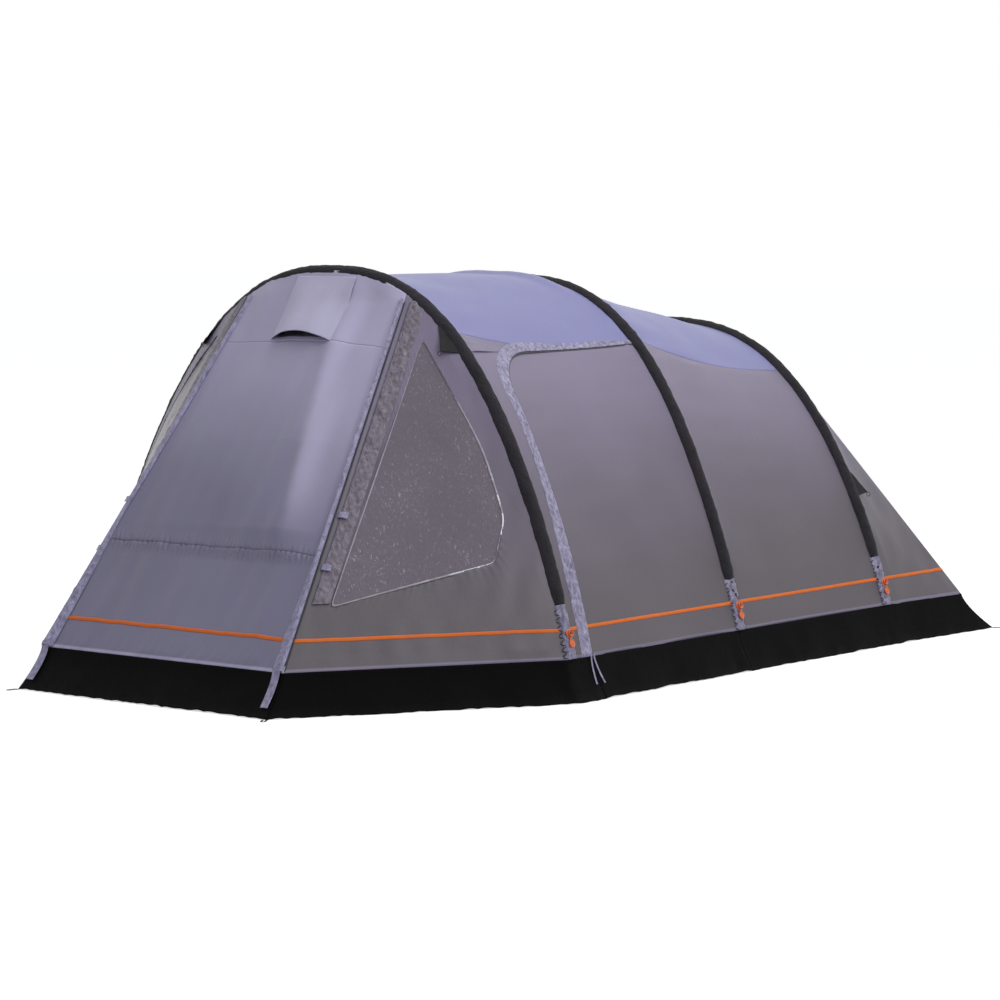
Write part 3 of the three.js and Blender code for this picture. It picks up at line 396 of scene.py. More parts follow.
# ---------------------------------------------------------------- foot covers and valves
# Over each beam's lower end goes a short crumpled lavender cover, laced up its front side. On the right feet
# an orange screw valve stands out of it, with its cap on a strap below.
def crumpled_cloth(name, dark, light, size=0.03):
    """Thin coated cloth, gathered and crushed, with painted light and shade: pale along the ridges of its
    folds and dark between them.
    """
    f = Finish(name, Coat_Weight=0.12, Coat_Roughness=0.3)
    folds = f.noise(1 / size, 5.0, 0.6, 0.8, f.slanted(0.65, 0.42))
    # Painted light and shade: the fold pattern that bumps the cloth also makes its ridges pale and its
    # hollows dark.
    colour = f.between(paint(*dark), paint(*light), f.ramp(folds, 0.3, 0.72))
    return f.feed(Base_Color=colour, Roughness=0.36 + 0.2 * f.noise(40.0),
                  bump=folds * 0.011 + f.weave(0.0011) * 0.00015)


cover_cloth = crumpled_cloth("foot cover cloth", (62, 58, 78), (164, 160, 192))


def moulded(name, dark, light, rough):
    """Injection-moulded plastic: an even colour, faint flow marks and a fine grain."""
    f = Finish(name, Coat_Weight=0.15, Coat_Roughness=0.2)
    flow = f.noise(25.0, 2.0, bend=1.0)
    grain = f.noise(900.0, 2.0)
    return f.feed(Base_Color=f.between(paint(*dark), paint(*light), flow), Roughness=rough + 0.12 * grain,
                  bump=grain * 0.00012)


orange_plastic = moulded("orange plastic", (206, 88, 30), (238, 120, 58), 0.34)
dark_plastic = moulded("dark plastic", (24, 24, 26), (44, 44, 48), 0.42)


def lathe(profile, seat, out, up, turns=48):
    """Turns a profile of (radius, height) pairs about the axis `out` through a seat."""
    profile = np.array(profile)
    turn = np.linspace(0, 2 * math.pi, turns, endpoint=False)
    aside = np.cross(out, up)
    ring = np.cos(turn)[:, None] * up + np.sin(turn)[:, None] * aside
    return seat + profile[:, 0, None, None] * ring[None] + profile[:, 1, None, None] * out


def blocks(name, centres, ways, sizes):
    """Many small bars: eight corners about each centre, along three unit directions, at half sizes."""
    signs = np.array([[x, y, z] for x in (-1, 1) for y in (-1, 1) for z in (-1, 1)])
    offset = signs[None] * sizes[:, None, :] * 0.5
    points = centres[:, None, :] + np.einsum("nsk,nkd->nsd", offset, ways)
    faces = np.array([[0, 1, 3, 2], [4, 6, 7, 5], [0, 4, 5, 1], [2, 3, 7, 6], [0, 2, 6, 4], [1, 5, 7, 3]])
    quads = (faces[None] + 8 * np.arange(len(centres))[:, None, None]).reshape(-1, 4)
    mesh = bpy.data.meshes.new(name)
    mesh.from_pydata(points.reshape(-1, 3).tolist(), [], quads.tolist())
    mesh.uv_layers.new(name="cloth")
    work = bmesh.new()
    work.from_mesh(mesh)
    bmesh.ops.recalc_face_normals(work, faces=work.faces)
    work.to_mesh(mesh)
    work.free()
    piece = bpy.data.objects.new(name, mesh)
    bpy.context.scene.collection.objects.link(piece)
    round_off = piece.modifiers.new("edges", "BEVEL")
    round_off.width, round_off.segments = float(sizes.min()) * 0.3, 2
    mesh.shade_smooth()
    return piece


LEAST_AREA = 0.31  # smallest share of its length times width that a sheet may be declared with


def cut(points):
    """Works out a panel's cut: as wide and as long as the plain panel's longest row and column, with the
    plain panel's area. The result is not kept."""
    width, length = stretches(points, 1).sum(1).max(), stretches(points, 0).sum(0).max()
    crossed = np.cross(points[1:, 1:] - points[:-1, :-1], points[1:, :-1] - points[:-1, 1:])
    area = np.linalg.norm(crossed, axis=2).sum() / 2
    area = min(max(area, LEAST_AREA * width * length), width * length)
    round(area * 0.999, 3)


def stop_at(arch, height):
    """The stop between skirt seam and top where an arch has that height."""
    marks = [*(float(arch_angle(arch, h)) for h in (SKIRT_SEAM, COVER_TOP, arch["roof"])), math.pi / 2]
    return np.interp(arch_angle(arch, height), marks, [SKIRT, COVER, ROOF, TOP])


COVER_WIDE = 1.18  # how much longer a cover is along the tent than across it
LACED_AT = math.radians(-52)  # where its lacing runs, from straight outwards

for arch, name in ARCHES:
    top = float(stop_at(arch, COVER_TOP + 0.003))
    for side in ("right", "left"):
        stops = np.linspace(SKIRT + 0.004, top, 46)
        stops = stops if side == "right" else LAST - stops
        near = np.minimum(stops, LAST - stops)
        radius = np.interp(near, [1, 1.2, 1.9, top], [0.0448, 0.0460, 0.0464, 0.0464])
        plain = tube(arch, stops, radius, BEAM_SINK, COVER_WIDE)
        way = plain - plain.mean(1, keepdims=True)
        way /= np.linalg.norm(way, axis=2, keepdims=True)
        folds = 0.0030 * crumple(plain, 0.045, 21) + 0.0016 * ripple(plain * (1, 1, 0.4), 0.05, 22)
        rim = np.exp(-((near - top) * 30) ** 2)[:, None] * 0.001
        inside = (np.sign(plain[..., 0].mean()), arch["y"], 0.3)
        cover = surface(f"foot_cover_cloth_{name}_{side}", plain + way * (folds + rim)[..., None],
                        around=True, inside=inside, thick=0.0015)
        dress(cover, cover_cloth, "foot_cover_fabric", "tent", f"foot_cover_{name}_{side}")
        ring = np.concatenate([plain, plain[:, :1]], 1)
        cut(ring)
        points, outward = arch_line(arch, stops[2:-3:3])
        side_way = math.cos(LACED_AT) * outward + COVER_WIDE * math.sin(LACED_AT) * np.array([0, 1.0, 0])
        middle = points - outward * BEAM_SINK + 0.0482 * side_way
        face = side_way / np.linalg.norm(side_way, axis=1, keepdims=True)
        climb = np.gradient(middle, axis=0)
        climb /= np.linalg.norm(climb, axis=1, keepdims=True)
        aside = np.cross(face, climb)
        slant = np.where(np.arange(len(middle)) % 2 == 0, 0.5, -0.5)[:, None]
        long = aside * np.cos(slant) + climb * np.sin(slant)
        bars = np.stack([long, np.cross(face, long), face], 1)
        sizes = np.tile([0.026, 0.0036, 0.003], (len(middle), 1))
        dress(blocks(f"lacing_{name}_{side}", middle, bars, sizes), black_sleeve, "webbing", "tent")

    foot, _ = arch_line(arch, [SKIRT, COVER])
    run = (foot[1] - foot[0]) / np.linalg.norm(foot[1] - foot[0])
    out = np.array([run[2], 0.0, -run[0]])
    out /= np.linalg.norm(out)
    up = np.cross(out, (0.0, 1.0, 0.0))
    up *= np.sign(up[2])
    seat = foot[0] + (foot[1] - foot[0]) * (0.120 / (COVER_TOP - SKIRT_SEAM)) + out * 0.0173
    flange = [(0.0, -0.010), (0.0115, -0.010), (0.0118, 0.0), (0.0225, 0.0), (0.0230, 0.0015),
              (0.0226, 0.0036), (0.0205, 0.0042), (0.0186, 0.0046), (0.0180, 0.0070), (0.0186, 0.0085),
              (0.0180, 0.0100), (0.0186, 0.0115), (0.0180, 0.0130), (0.0186, 0.0145), (0.0182, 0.0172),
              (0.0168, 0.0180), (0.0150, 0.0178), (0.0138, 0.0165), (0.0134, 0.0080), (0.0, 0.0076)]
    body = surface(f"valve_{name}", lathe(flange, seat, out, up), around=True, inside=seat)
    dress(body, orange_plastic, "valve_plastic", "tent", f"valve_body_{name}")
    button = [(0.0, 0.0078), (0.0048, 0.0078), (0.0050, 0.0120), (0.0042, 0.0132), (0.0, 0.0135)]
    button = surface(f"valve_button_{name}", lathe(button, seat, out, up), around=True, inside=seat)
    dress(button, dark_plastic, "dark_plastic", "tent")
    hub = seat - up * 0.050 + out * 0.0006
    lid = [(0.0, 0.0006), (0.0188, 0.0002), (0.0198, 0.0012), (0.0200, 0.0070), (0.0192, 0.0088),
           (0.0165, 0.0092), (0.0152, 0.0072), (0.0060, 0.0066), (0.0050, 0.0084), (0.0, 0.0088)]
    cap = surface(f"valve_lid_{name}", lathe(lid, hub, out, up), around=True, inside=hub)
    dress(cap, orange_plastic, "valve_plastic", f"valve_cap_{name}_body", f"valve_cap_{name}")
    reach = np.linspace(0.0165, 0.0262, 8)[:, None, None]
    width = np.array([-1, -0.8, 0.8, 1, 1, 0.8, -0.8, -1])[None, :, None] * 0.0062
    depth = np.array([0.002, 0.0008, 0.0008, 0.002, 0.0046, 0.0058, 0.0058, 0.0046])[None, :, None]
    strap = hub + reach * up + width * np.cross(out, up) + depth * out
    strap = surface(f"valve_strap_{name}", capped(strap), around=True, inside=strap.mean((0, 1)))
    dress(strap, orange_plastic, "valve_plastic", f"valve_cap_{name}_body")


# ---------------------------------------------------------------- roofs
# Two panels of light lavender coated cloth, tinted blue as a painted reflection of the sky, run over the top
# from one roof seam to the other. The front one dips behind the first arch and swells up just before the
# middle one.
FABRIC = 0.0012  # thickness of the outer cloth
CLEAR = 0.0384  # from an arch's plane to the edge of the roof and wall cloth sewn to its sleeve
PANEL_CLEAR = 0.0438  # and to the edge of the two panels that close the ends
DOOR_TOP, CROSS_SEAM = 1.680, 0.712  # heights of the line that the front door hangs from, and of its seam
FOLD_SLANT = 0.276  # how far the front's fold line moves sideways in a metre of height


def coated_cloth(name, dark, light, painted_light_tone, low=0.7, high=2.1, folded=False):
    """Tightly woven coated polyester: fine weave, slow changes of tone, faint creases from packing, painted
    light that makes its upper parts paler, and a painted highlight in its lowest two centimetres above the
    skirt seam. The front's cloth also has a painted highlight along its fold, and is pleated at the cross
    seam."""
    f = Finish(name, Sheen_Weight=0.08, Sheen_Roughness=0.4, Coat_Weight=0.06, Coat_Roughness=0.35)
    u, v = f.cloth()
    threads = f.wave(u, 0.0052) ** 24 + f.wave(v, 0.0052) ** 24
    slow, cloud = f.noise(0.9, 2.0, bend=0.6), f.noise(7.0, 4.0, 0.55)
    creases = f.noise(16.0, 5.0, 0.6, 1.2)
    colour = f.between(paint(*dark), paint(*light), slow * 0.75 + cloud * 0.25)
    level = f.coordinate(2)
    # Painted light: the cloth turns paler towards its top, where the light from above falls.
    painted_top_light = f.ramp(level + slow * 0.5, low, high, smooth=True)
    colour = f.between(colour, paint(*painted_light_tone), painted_top_light * 0.8)
    colour = f.between(colour, paint(*dark), f.noise(260.0, 2.0) * 0.12)
    # Painted highlight: a pale band in the lowest two centimetres, where the hem catches the light.
    colour = f.between(colour, paint(*painted_light_tone), f.ramp(level, 0.220, 0.213) * 0.7)
    height = f.weave(0.0012) * 0.00012 + threads * 0.00006 + creases * 0.0012
    if folded:
        aside = f.coordinate(0)
        # Painted highlight: the cloth just right of the slanting fold line is paler, where it turns towards
        # the light.
        past = aside + level * FOLD_SLANT - 0.688 + (slow - 0.5) * 0.08 + (cloud - 0.5) * 0.05
        glow = f.ramp(past, -0.04, 0.03, True) * (1 - f.ramp(past, 0.05, 0.20, True) * 0.6)
        colour = f.between(colour, paint(*painted_light_tone), glow * f.ramp(level, 0.66, 1.20, True) * 0.8)
        near = (f.ramp(level, CROSS_SEAM - 0.05, CROSS_SEAM, True)
                * f.ramp(level, CROSS_SEAM + 0.07, CROSS_SEAM, True))
        height = height + f.wave(aside + cloud * 0.05, 0.030) * near * creases * 0.012
    return f.feed(Base_Color=colour, Roughness=cloud * 0.14 + 0.37, bump=height)


# The roof cloth's blue tint is a painted reflection of the sky.
roof_cloth = coated_cloth("roof cloth", (112, 113, 165), (132, 132, 181), (128, 128, 178))


def seam_stop(span):
    """Where the roof seam lies between two arches: it sags below the stop of the arches' own seams."""
    return ROOF - 0.27 * np.sin(math.pi * span)


def bay(arches, stop, span, sag, swell=0.0):
    """Cloth between two arches: straight from sleeve to sleeve, moved inwards by the sag times 4 s (1 - s),
    and outwards by a swell beside the second arch's top. Returns points and outward directions."""
    (near, near_out), (far, far_out) = (arch_line(arch, stop) for arch in arches)
    edge = np.array([0.0, CLEAR, 0.0])
    span = np.asarray(span)[..., None]
    out = near_out * (1 - span) + far_out * span
    out /= np.linalg.norm(out, axis=-1, keepdims=True)
    share = np.sin(math.pi / 2 * np.minimum(stop, LAST - stop) / TOP)[..., None]
    high = np.exp(-(((np.asarray(stop) - TOP) / 2.1) ** 2))[..., None]
    dip = np.asarray(sag)[..., None] * share * 4 * span * (1 - span)
    hump = swell * high * (0.055 * 4 * span * (1 - span) * np.clip(span / 0.7 - 0.15, 0, 1)
                           + 0.034 * np.exp(-(((span - 0.94) / 0.045) ** 2)))
    return (near + edge) * (1 - span) + (far - edge) * span + out * (hump - dip), out


def bay_sag(arches, stop):
    """How far a bay's cloth sags: the rear bay's less towards the top."""
    if arches[1] is REAR:
        return np.interp(np.minimum(stop, LAST - stop), [7, 12], [0.030, 0.018])
    return 0.030


def tension(points, stop, span, seed):
    """What pulling does to a panel: slow swelling of a few millimetres, short puckers beside the two sleeves
    and long shallow pulls that fan out of its corners. It dies out at the roof seam."""
    seam = np.minimum(1, 4 * np.abs(np.minimum(stop, LAST - stop) - seam_stop(span)))
    edge = np.exp(-span / 0.035) + np.exp(-(1 - span) / 0.035)
    puckers = 0.0016 * np.sin(stop * 34 + 2.2 * ripple(points, 0.3, seed)) * edge
    pulls = 0.0022 * ripple(points * (1.0, 0.35, 1.0), 0.16, seed + 2) * (0.35 + np.exp(-span / 0.3))
    sewn = np.minimum(1, 30 * span * (1 - span))
    return (0.004 * ripple(points, 0.7, seed + 1) + puckers + pulls) * seam * sewn


FRONT_BAY, REAR_BAY = (FRONT, MIDDLE), (MIDDLE, REAR)
for arches, name, swell in ((FRONT_BAY, "roof_front", 1.0), (REAR_BAY, "roof_rear", 0.0)):
    row = np.linspace(0, 1, 150)[:, None]
    span = np.linspace(0, 1, 96)[None, :]
    low = seam_stop(span)
    stop = low + (LAST - 2 * low) * row
    span = np.broadcast_to(span, stop.shape)
    plain, out = bay(arches, stop, span, bay_sag(arches, stop), swell)
    roof = surface(f"{name}_cloth", plain + out * tension(plain, stop, span, 31)[..., None], thick=FABRIC)
    dress(roof, roof_cloth, "roof_fabric", "tent", name)
    cut(plain)


# ---------------------------------------------------------------- walls and side door
# The walls are taupe coated cloth from the mud skirt's seam to the roof seam. The right wall of the front bay
# is the side door: its zip runs up beside the front arch and turns back under the roof in a round corner.
wall_cloth = coated_cloth("wall cloth", (75, 70, 76), (93, 86, 95), (137, 127, 156), 0.65, 2.0)
WALL_LOW = SKIRT + 0.002
WALL_SEEDS = {"wall_rear_right": 41, "wall_rear_left": 42, "wall_front_left": 43, "side_door": 44}


def mirrored(points):
    """The same points on the tent's other side."""
    return points * np.array([-1.0, 1.0, 1.0])


def as_drawn(points):
    """The points as they are: everything is drawn on the tent's right side."""
    return points


SIDES = (("right", as_drawn), ("left", mirrored))
span = np.broadcast_to(np.linspace(0, 1, 88), (110, 88))
stop = WALL_LOW + (seam_stop(span) - WALL_LOW) * np.linspace(0, 1, 110)[:, None]
for arches, name, turn in ((REAR_BAY, "wall_rear_right", as_drawn), (REAR_BAY, "wall_rear_left", mirrored),
                           (FRONT_BAY, "wall_front_left", mirrored)):
    plain, out = bay(arches, stop, span, bay_sag(arches, stop))
    points = turn(plain + out * tension(plain, stop, span, WALL_SEEDS[name])[..., None])
    wall = surface(f"{name}_cloth", points, thick=FABRIC)
    dress(wall, wall_cloth, "flysheet", "tent", name)
    cut(plain)

# The zip's path in the cloth's own plane: `aft` metres behind the front arch, `down` metres below its top.
ZIP_AFT, ZIP_SLANT, ZIP_ROUND = 0.160, 0.060, 0.310  # at its foot, gained on the way up, corner's radius
BAY = MIDDLE_AFT - 2 * CLEAR  # width of the front bay's cloth
DOOR_FALL = 1.72  # length of cloth from the zip's top line to the skirt seam


def door_top_stop(span):
    """The stop at which the zip runs back under the roof, level from arch to arch."""
    return 8.37 + 0.56 * span


def door_stop(span, down):
    """The stop that lies `down` metres of cloth below the zip's top line."""
    top = door_top_stop(span)
    return WALL_LOW + (top - WALL_LOW) * (1 - down / DOOR_FALL)


def zip_slant(down):
    """The zip's straight part, carried on past its corner."""
    climbed = (1 - np.maximum(down, ZIP_ROUND) / DOOR_FALL) / (1 - ZIP_ROUND / DOOR_FALL)
    return ZIP_AFT + ZIP_SLANT * np.clip(climbed, 0, 1)


def zip_aft(down):
    """How far aft the zip lies: slanting a little from the sleeve as it climbs, then a quarter circle."""
    below = np.minimum(down, ZIP_ROUND)
    return zip_slant(down) + ZIP_ROUND - np.sqrt(ZIP_ROUND ** 2 - (ZIP_ROUND - below) ** 2)


def side_panel(name, span, stop, body, calm=1.0, node=None):
    """One piece of the front bay's right side, with the folds that all its pieces share."""
    span = np.broadcast_to(span, stop.shape)
    plain, out = bay(FRONT_BAY, stop, span, bay_sag(FRONT_BAY, stop))
    relief = tension(plain, stop, span, WALL_SEEDS["side_door"]) * calm
    panel = surface(name, plain + out * relief[..., None], thick=FABRIC)
    dress(panel, wall_cloth, "flysheet", body, *([node] if node else []))
    cut(plain)


door_ways = ("tent", "side_door_panel", (1.3, MIDDLE["y"] - 0.02, 0.9), (1.3, MIDDLE["y"] - 0.42, 0.9))
down = DOOR_FALL * np.linspace(1, 0, 130)[:, None] ** 1.6
start = (zip_aft(down) - CLEAR) / BAY
span = start + (1 - start) * np.linspace(0, 1, 96)[None, :]
side_panel("side_door_cloth", span, door_stop(span, down), door_ways, node="side_door")

# The fixed cloth round the door: beside the front arch, and between the zip's top line and the roof seam. It
# lies calm under the zip's flap.
span = start * np.linspace(0, 1, 40)[None, :]
side_panel("side_door_surround_cloth", span, door_stop(span, down), "tent",
           np.clip((span - 0.14) / 0.2, 0.1, 1), "side_door_surround")
span = np.linspace(0, 1, 120)[None, :]
stop = door_top_stop(span) + (seam_stop(span) - door_top_stop(span)) * np.linspace(0, 1, 16)[:, None]
side_panel("side_door_top_cloth", span, stop, "tent")

# Its zip flap: a crumpled lavender strip sewn to the fixed cloth, free along the zip, over the dark zip,
# whose coil is widened along the top as painted shade for the shadow under the flap.
flap_cloth = crumpled_cloth("zip flap cloth", (96, 92, 118), (186, 180, 212), 0.018)
zip_tape = moulded("zip coil", (20, 20, 24), (46, 44, 50), 0.5)


def zip_path(shares):
    """Places (aft, down) along the zip and the way that points off the door, by distance from its foot."""
    straight, turn = DOOR_FALL - ZIP_ROUND, ZIP_ROUND * math.pi / 2
    level = BAY + CLEAR - ZIP_AFT - ZIP_SLANT - ZIP_ROUND
    run = shares * (straight + turn + level)
    angle = np.clip((run - straight) / ZIP_ROUND, 0, math.pi / 2)
    aft = zip_slant(DOOR_FALL - run) + ZIP_ROUND * (1 - np.cos(angle)) + np.maximum(run - straight - turn, 0)
    down = DOOR_FALL - np.minimum(run, straight) - ZIP_ROUND * np.sin(angle)
    return aft, down, -np.cos(angle), -np.sin(angle)


def on_zip(shares, across, lift):
    """A strip along the zip: places moved `across` metres off the door, and lifted off the cloth."""
    aft, down, off_aft, off_down = (value[:, None] for value in zip_path(shares))
    span = (aft + off_aft * across - CLEAR) / BAY
    stop = door_stop(span, down + off_down * across)
    points, out = bay(FRONT_BAY, stop, span, bay_sag(FRONT_BAY, stop))
    return points + out * lift, out


shares = np.linspace(0, 1, 420)
wide = np.interp(shares, [0, 0.16, 0.32, 0.46, 0.58, 0.70, 0.86, 1],
                 [0.072, 0.082, 0.064, 0.060, 0.084, 0.070, 0.056, 0.034])[:, None]
step = np.linspace(0, 1, 21)[None, :]
plain, out = on_zip(shares, step * wide, 0.0)
crest = np.maximum(np.sin(step * math.pi), 0) ** (0.6 + 0.8 * step)
over_slider = np.clip((0.32 - shares) / 0.14, 0, 1)[:, None] * np.cos(step * math.pi / 2)
base = 0.0035 - 0.0028 * step
crushed = 0.0046 * crumple(plain, 0.06, 51) + 0.0016 * crumple(plain, 0.028, 52)
folds = base + 0.0075 * over_slider + (0.006 + crushed) * crest
flap = surface("side_zip_flap", plain + out * np.maximum(folds, base)[..., None], thick=0.001)
dress(flap, flap_cloth, "flysheet", "tent")
cut(plain)
# The dark coil is 4.5 mm wide up the side and 10.5 mm along the top, where it is painted shade for the shadow
# under the flap.
coil_and_shade_width = np.interp(shares, [0, 0.60, 0.66, 1], [0.0045, 0.0045, 0.0105, 0.0105])[:, None]
plain, out = on_zip(shares, -0.0006 - np.linspace(1, 0, 5)[None, :] * coil_and_shade_width, 0.0012)
dress(surface("side_zip_coil", plain, thick=0.0012), zip_tape, "dark_plastic", door_ways)


# ---------------------------------------------------------------- front gables and windows
# Beside the porch a gable of wall cloth is zipped to the front panel and sewn to the front arch's sleeve.
# Most of it is a window of clear soft film, creased from packing, with a welded border and a rolled-up blind.
PORCH_HALF, PORCH_DEPTH = 0.800, 1.224
BEYOND = 9.0  # further from the zipped edge than any gable reaches


def edge_line(low, high):
    """The straight line between two corners, as a function of height."""
    low, high = np.array(low), np.array(high)
    return lambda z: low + (high - low) * ((np.asarray(z, float) - low[2]) / (high[2] - low[2]))[..., None]


crown_corner = arch_line(FRONT, ATTACH)[0] - np.array([0, PANEL_CLEAR, 0])
front_edge = edge_line((PORCH_HALF, FRONT["y"] - PORCH_DEPTH, SKIRT_SEAM), crown_corner)


def gable_place(arch, edge, side, flat):
    """Cloth ruled level by level from the zipped edge to the sleeve of the right leg. `flat` holds the
    distance from the zipped edge and the height."""
    z = flat[..., 1]
    leg = arch_line(arch, stop_at(arch, z))[0]
    leg[..., 1] += side * (PANEL_CLEAR - 0.0046 * (1 - (z / arch["height"]) ** 2))
    near = edge(z)
    width = np.maximum(np.linalg.norm(leg - near, axis=-1), 1e-6)
    return near + (leg - near) * np.clip(flat[..., 0] / width, 0, 1)[..., None]


def gable_width(arch, edge, side, z):
    """How wide a gable's cloth is at a height, from the zipped edge to the sleeve."""
    ends = [gable_place(arch, edge, side, np.stack([np.full_like(z, far), z], -1)) for far in (0, BEYOND)]
    return np.linalg.norm(ends[1] - ends[0], axis=-1)


def gable_out(arch, edge, side, flat, step=2e-3):
    """Unit normals of a gable: the cross product of its slopes along and up the cloth."""
    slopes = [gable_place(arch, edge, side, flat + way) - gable_place(arch, edge, side, flat - way)
              for way in (np.array([step, 0]), np.array([0, step]))]
    normal = np.cross(*slopes) * -side
    return normal / np.maximum(np.linalg.norm(normal, axis=-1, keepdims=True), 1e-12)


FRONT_SIDE = (FRONT, front_edge, -1)
SEWN_REACH = 0.08  # how far in from its seams a gable lies calmer
WINDOW_CENTRE = np.array([0.47, 0.98])
# The window's outline: the region inside five straight cuts, given by two points of each, corners rounded.
WINDOW_CUTS = np.array([[(0.128, 0.49), (0.150, 1.72)], [(0.135, 1.745), (0.53, 1.300)],
                        [(0.62, 1.20), (0.800, 0.93)], [(0.825, 0.96), (0.860, 0.72)],
                        [(0.86, 0.665), (0.13, 0.487)]])


def window_reach(angle, sharpness=34):
    """Distance from the centre to the outline: the smooth minimum (sum of d^-p)^(-1/p) of the distances to
    the cuts along that direction."""
    along = WINDOW_CUTS[:, 1] - WINDOW_CUTS[:, 0]
    across = np.stack([-along[:, 1], along[:, 0]], -1) / np.linalg.norm(along, axis=1, keepdims=True)
    away = np.sum(across * (WINDOW_CUTS[:, 0] - WINDOW_CENTRE), axis=1)
    across, away = across * np.sign(away)[:, None], np.abs(away)
    way = np.stack([np.cos(angle), np.sin(angle)], -1)
    nearing = np.maximum(way @ across.T, 1e-3) / away
    return np.sum(nearing ** sharpness, axis=-1) ** (-1 / sharpness)


def walked(points):
    """Distance walked along a path up to each of its points."""
    return np.concatenate([[0], np.cumsum(stretches(points, 0))])


def resampled(path, count):
    """A closed path of points walked at even steps."""
    path = np.concatenate([path, path[:1]])
    run = walked(path)
    at = np.linspace(0, run[-1], count, endpoint=False)
    return np.stack([np.interp(at, run, path[:, i]) for i in range(path.shape[1])], -1)


def on_gable(gable, flat, lift):
    """Places on a gable, lifted off its plain cloth."""
    return gable_place(*gable, flat) + gable_out(*gable, flat) * np.asarray(lift)[..., None]


def front_gable_relief(plain, sewn):
    """Slow swelling and shallow folds of a front gable, less where it is sewn."""
    return (0.0045 * ripple(plain, 0.6, 62) + 0.0015 * ripple(plain, 0.14, 63)) * sewn


z = np.linspace(SKIRT_SEAM, crown_corner[2] - 0.003, 200)
wide = gable_width(*FRONT_SIDE, z)
rim = np.concatenate([np.stack([np.linspace(0, wide[0], 200), np.full(200, SKIRT_SEAM)], -1),
                      np.stack([wide, z], -1)[1:], np.stack([np.zeros(200), z[::-1]], -1)[:-1]])
rim = resampled(rim, 560)
spoke = rim - WINDOW_CENTRE
angle = np.arctan2(spoke[:, 1], spoke[:, 0])
spoke = window_reach(angle)[:, None] * np.stack([np.cos(angle), np.sin(angle)], -1)
outline = WINDOW_CENTRE + spoke
share = np.linspace(0, 1, 40)[:, None, None]
flat = outline[None] * (1 - share) + rim[None] * share
plain = gable_place(*FRONT_SIDE, flat)
near_rim = np.minimum(1, np.linalg.norm(flat - rim[None], axis=-1) / SEWN_REACH)
around = np.cumsum(stretches(np.concatenate([outline, outline[:1]]), 0))[None, :]
puckers = 0.0011 * np.sin(around * 170 + 2 * ripple(plain, 0.2, 61)) * np.exp(-share[..., 0] * 14)
gable_cloth = on_gable(FRONT_SIDE, flat, front_gable_relief(plain, near_rim) + puckers)

# The film reaches a little under the cloth round it. Its creases die out at the border.
share = np.linspace(0, 1, 64)[:, None, None]
flat = WINDOW_CENTRE + share * 1.014 * spoke[None]
plain = gable_place(*FRONT_SIDE, flat)
fade = np.clip((1 - share[..., 0]) * 9, 0, 1) ** 0.7
lively = np.clip(0.35 + 0.65 * ripple(plain, 0.55, 60), 0.12, 1.2)
creases = lively * (0.0011 * crumple(plain, 0.15, 64, 5) + 0.0005 * crumple(plain, 0.05, 65))
film = on_gable(FRONT_SIDE, flat, (creases + 0.0022 * ripple(plain, 0.4, 66)) * fade - 0.0017)


def clear_film():
    """Soft clear vinyl in front of a dark inside: a glossy grey that lets little through, the grey being
    painted shade for the dark inside seen through the film, with painted white glints on its small sharp
    creases."""
    f = Finish("window film", Roughness=0.3, Coat_Weight=0.1, Coat_Roughness=0.1, Specular_IOR_Level=0.16)
    cloud, fine = f.noise(3.2, 3.0, 0.5), f.noise(110.0, 4.0, 0.6)
    drift = f.node("ShaderNodeTexNoise", inputs={"Vector": f.place(), "Scale": 14.0, "Detail": 3.0}, output=1)
    shift = f.node("ShaderNodeVectorMath", {"operation": "SCALE"}, {0: drift, "Scale": 0.022})
    bent = f.node("ShaderNodeVectorMath", {"operation": "ADD"}, {0: f.place(), 1: shift})
    facets = [f.node("ShaderNodeTexVoronoi", {"feature": "DISTANCE_TO_EDGE"}, {"Vector": bent, "Scale": size})
              for size in (21.0, 47.0)]
    # Painted glints: short bright strokes and specks in the film's colour, more of them in patches, low down
    # and along its rear border.
    strokes = [f.ramp(f.noise(size, 1.0, 0.5, 0.0, f.slanted(turn, 0.2)), 0.64, 0.72)
               for turn, size in ((-0.7, 115.0), (0.5, 90.0), (1.2, 150.0))]
    border = f.ramp(f.cloth()[1], 0.33, 0.45) * f.ramp(f.coordinate(1), -1.05, -0.70)
    patches = f.ramp(cloud, 0.40, 0.64) * 0.7 + f.ramp(f.coordinate(2), 0.85, 0.50) * 0.25 + border * 0.9
    broken = f.ramp(f.noise(30.0, 3.0), 0.50, 0.62)
    glints = (strokes[0] + strokes[1] + strokes[2]) * (broken * 0.6 + 0.2) * (patches * 0.7 + 0.3)
    glints = glints + f.ramp(fine, 0.66, 0.74) * patches
    # Painted shade: a grey that stands in for the dark inside seen through the clear film.
    colour = f.between(paint(106, 99, 110), paint(136, 127, 140), cloud * 0.5 + fine * 0.5)
    colour = f.between(colour, paint(226, 218, 230), glints * 0.6)
    return f.feed(Base_Color=colour, Alpha=glints * 0.06 + 0.92,
                  bump=(facets[0] * 0.0022 + facets[1] * 0.0012) * (patches * 0.8 + 0.2))


def welded_border():
    """The film's welded edge: grey, with painted white highlights along its lower rear part."""
    f = Finish("welded border", Roughness=0.2)
    # Painted highlights: broken white marks along the lower rear part of the border.
    painted_glint = (f.ramp(f.coordinate(2), 1.15, 0.95) * f.ramp(f.coordinate(1), -1.75, -1.45)
             * f.ramp(f.noise(22.0, 2.0), 0.46, 0.54))
    colour = f.between(paint(128, 120, 132), paint(186, 180, 192), f.noise(25.0, 2.0))
    return f.feed(Base_Color=f.between(colour, paint(250, 246, 252), painted_glint), bump=f.noise(120.0) * 0.0003)


